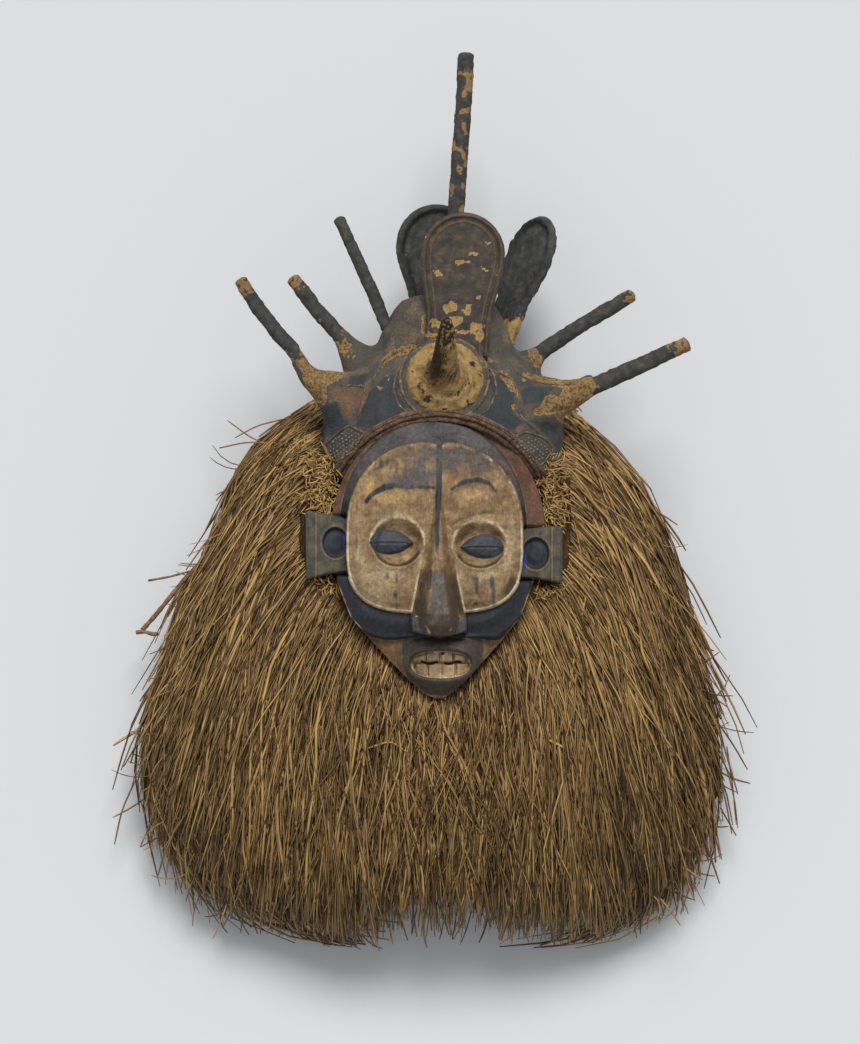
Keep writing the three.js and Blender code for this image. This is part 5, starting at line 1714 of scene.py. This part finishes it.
# A few bits stand out by themselves: a split leaf and broken ends at the left, a gold bundle, a long bent
# leaf and crossed ends at the right.
# Each stray: its path, half its width, and its tint from brown to straw.
STRAYS = [
    (
        [(-226, -150, 50), (-232, -168, 48), (-236, -185, 46), (-250, -192, 46), (-260, -199, 45)], 1.25,
        0.95,
    ),
    ([(-116, 66, 92), (-142, 60, 84), (-160, 50, 80)], 0.6, 0.5),
    ([(-118, 40, 90), (-146, 49, 80), (-166, 64, 76)], 0.6, 0.45),
    ([(-173, 42, 70), (-150, 47, 80), (-118, 44, 90)], 0.6, 0.5),
    ([(-243, -228, 36), (-254, -252, 34), (-260, -280, 32)], 0.7, 0.45),
    ([(-226, -236, 40), (-246, -250, 36), (-261, -258, 34)], 0.7, 0.5),
    ([(176, -6, 60), (188, -14, 60), (197, -20, 59)], 0.7, 0.5),
    ([(219, -138, 40), (229, -158, 38), (236, -175, 36)], 0.7, 0.35),
    ([(226, -174, 40), (243, -198, 38), (255, -219, 36)], 0.7, 0.3),
    ([(222, -214, 44), (242, -226, 42), (257, -230, 40)], 0.8, 0.4),
    ([(238, -200, 38), (243, -232, 36), (246, -264, 34)], 0.6, 0.3),
    ([(222, -242, 40), (229, -266, 38), (234, -292, 34)], 0.7, 0.5),
    ([(233, -250, 36), (240, -262, 34), (246, -273, 32)], 0.7, 0.45),
    ([(214, -303, 34), (222, -305, 32), (229, -306, 30)], 0.6, 0.5),
    (on_bell([(134, -12), (136, -29), (125, -54), (114, -98), (107, -150), (97, -192)]), 1.3, 0.75),
    (on_bell([(123, -59), (132, -61), (141, -64)]), 0.9, 1.0),
    (on_bell([(91, -190), (97, -193), (102, -196)]), 1.2, 1.0),
    (on_bell([(-60, -180), (-66, -220), (-78, -262)]), 1.3, 0.95),
    (on_bell([(-20, -200), (-34, -190), (-52, -196)]), 0.9, 0.8),
]
for k in range(9):
    shift = numbers.normal(0, 3, 2)
    gold_line = [
        (179 + shift[0], -128), (198 + shift[0], -172), (209 + shift[1], -215), (212 + 1.4 * shift[1], -262)
    ]
    STRAYS.append((on_bell(gold_line, -2 + 0.4 * k), 0.8 + 0.1 * (k % 3), 0.9 + 0.02 * k))
stray_lines, stray_half, stray_tint = zip(*STRAYS)
raffia += strands("raffia_strays", shaped(stray_lines), stray_half, stray_tint)

# A rolled binding of the same fibre closes the gap between the bell and the edge of the face.
roll_line = [(x, y, z - 9) for x, y, z in TIED[3:-3, :3]]
roll_bm = bmesh.new()
roll_run = even_line(roll_line, 3.0, 6.0)
roll_lumps = noise3(roll_run, 9, 111)
tube(roll_bm, roll_run, 8.5 + 1.6 * roll_lumps, 14)
roll = finish_mesh(roll_bm, "raffia_binding")
p = places(roll)
move_to(roll, p + normals(roll) * (0.9 * noise3(p, 2.4, 112) + 0.9 * noise3(p, 5, 113))[:, None])

# Dry raffia: split leaf, from dark brown through dull gold to straw, slightly waxy along the leaf, darker
# at the roots and towards the hem, and lighter at the tips, which is painted light.
leaf, tree, shader, at = new_finish("dry raffia")
tint = add(tree, "ShaderNodeAttribute", attribute_name="tint").outputs["Fac"]
along = add(tree, "ShaderNodeAttribute", attribute_name="along").outputs["Fac"]
patchy = add(tree, "ShaderNodeTexNoise", {"Vector": at, "Scale": 0.03, "Detail": 3}).outputs[0]
streaky = add(tree, "ShaderNodeMapping", {"Vector": at, "Scale": (1, 0.2, 1)}).outputs[0]
streaky = add(
    tree, "ShaderNodeTexNoise", {"Vector": streaky, "Scale": 0.35, "Detail": 4, "Roughness": 0.7}
).outputs[0]
mix = add(tree, "ShaderNodeMath", {0: streaky, 1: 0.5}, operation="SUBTRACT").outputs[0]
mix = add(tree, "ShaderNodeMath", {0: mix, 1: 0.7, 2: tint}, operation="MULTIPLY_ADD").outputs[0]
straw = ramp(
    tree, mix, [(0.05, "#49361f"), (0.3, "#6d5332"), (0.55, "#917146"), (0.78, "#aa8956"), (1.0, "#c19c62")]
)
height = add(tree, "ShaderNodeSeparateXYZ", {"Vector": at}).outputs["Y"]
# Darker at the roots; lighter at the tips, a painted light; darker towards the hem.
straw = dappled(tree, straw, along, 0.0, 0.12, 0.75, 1.0)
straw = dappled(tree, straw, along, 0.92, 1.0, 1.0, 1.22)
straw = dappled(tree, straw, height, -180, -330, 1.0, 0.86)
straw = dappled(tree, straw, patchy, 0.35, 0.65, 0.84, 1.14)
finished(tree, shader, straw, 0.62, 0.3)
for obj in raffia:
    obj.data.materials.append(leaf)

# The bed and the binding are coloured darker than the strands: painted shade under and between them.
mat, tree, shader, at = new_finish("matted raffia in painted shade")
streaky = add(tree, "ShaderNodeMapping", {"Vector": at, "Scale": (1, 0.14, 1)}).outputs[0]
streaky = add(
    tree, "ShaderNodeTexNoise", {"Vector": streaky, "Scale": 0.8, "Detail": 4, "Roughness": 0.7}
).outputs[0]
colour = ramp(tree, streaky, [(0.35, "#2e2114"), (0.55, "#4c3821"), (0.7, "#6d5230")])
finished(tree, shader, colour, 0.95, 0.1, streaky, 1.0, 0.002)
bed.data.materials.append(mat)
roll.data.materials.append(mat)

# One reddish stalk with a snapped end and one thin twig stick out at the left, left in when it was tied.
twigs_bm = bmesh.new()
for line, thick in [
    ([(-174, -36, 62), (-200, -62, 60), (-226, -94, 57), (-236, -105, 56)], 1.9),
    ([(-241, -107, 56), (-234, -106, 57), (-228, -108.5, 57), (-223, -108, 58)], 1.6),
    ([(-196, -57, 62), (-214, -62, 60), (-231, -65, 58)], 0.9),
]:
    run = even_line(line, 2.5, 2.0)
    tube(twigs_bm, run, [thick * rng.uniform(0.85, 1.15) for _ in run], 9)
twigs = finish_mesh(twigs_bm, "raffia_twigs")
bark, tree, shader, at = new_finish("reddish dry stalk")
skin = add(
    tree, "ShaderNodeTexNoise", {"Vector": at, "Scale": 0.25, "Detail": 5, "Roughness": 0.7}
).outputs[0]
finished(tree, shader, ramp(tree, skin, [(0.35, "#503a25"), (0.5, "#775738"), (0.66, "#91704a")]), 0.6)
twigs.data.materials.append(bark)
for obj in [bed, roll, twigs] + raffia:
    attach(obj, "root")
    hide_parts("raffia_collar")


# The floor is plain pale paper; the light comes soft from above the crown, so the hem throws a shadow.
floor_bm = bmesh.new()
bmesh.ops.create_grid(floor_bm, x_segments=1, y_segments=1, size=6000)
floor = finish_mesh(floor_bm, "floor", smooth=False)
paper, tree, shader, at = new_finish("matte studio paper")
shader.inputs["Base Color"].default_value = hexed("#cfd0d1")
shader.inputs["Roughness"].default_value = 0.95
shader.inputs["Specular IOR Level"].default_value = 0.1
floor.data.materials.append(paper)

for name, aim, angle, power in [("key", (0.1, 0.9, 1.2), 24, 2.84), ("front", (-0.1, -0.1, 1), 60, 0.46)]:
    light = bpy.data.lights.new(name, "SUN")
    light.angle = math.radians(angle)
    light.energy = power
    lamp = bpy.data.objects.new(name, light)
    lamp.rotation_euler = (-Vector(aim)).to_track_quat("-Z", "Y").to_euler()
    bpy.context.scene.collection.objects.link(lamp)
world = bpy.data.worlds.new("studio")
world.use_nodes = True
world.node_tree.nodes["Background"].inputs["Color"].default_value = (0.95, 0.97, 1.0, 1)
world.node_tree.nodes["Background"].inputs["Strength"].default_value = 0.31
bpy.context.scene.world = world
bpy.context.scene.view_settings.view_transform = "Standard"

# The camera looks straight down. At the height of the face, one pixel of the photo is 0.8 mm wide.
CAMERA_HEIGHT = 4.0
FACE_HEIGHT = 0.1
PHOTO_ROWS = 1044
PIXEL_SIZE = 0.0008
camera = bpy.data.cameras.new("camera")
camera.sensor_fit = "VERTICAL"
camera.sensor_height = 36
camera.lens = 36 * (CAMERA_HEIGHT - FACE_HEIGHT) / (PHOTO_ROWS * PIXEL_SIZE)
camera.clip_end = 50
eye_at = bpy.data.objects.new("camera", camera)
eye_at.location = (-0.0032, -0.0176, CAMERA_HEIGHT)
bpy.context.scene.collection.objects.link(eye_at)
bpy.context.scene.camera = eye_at
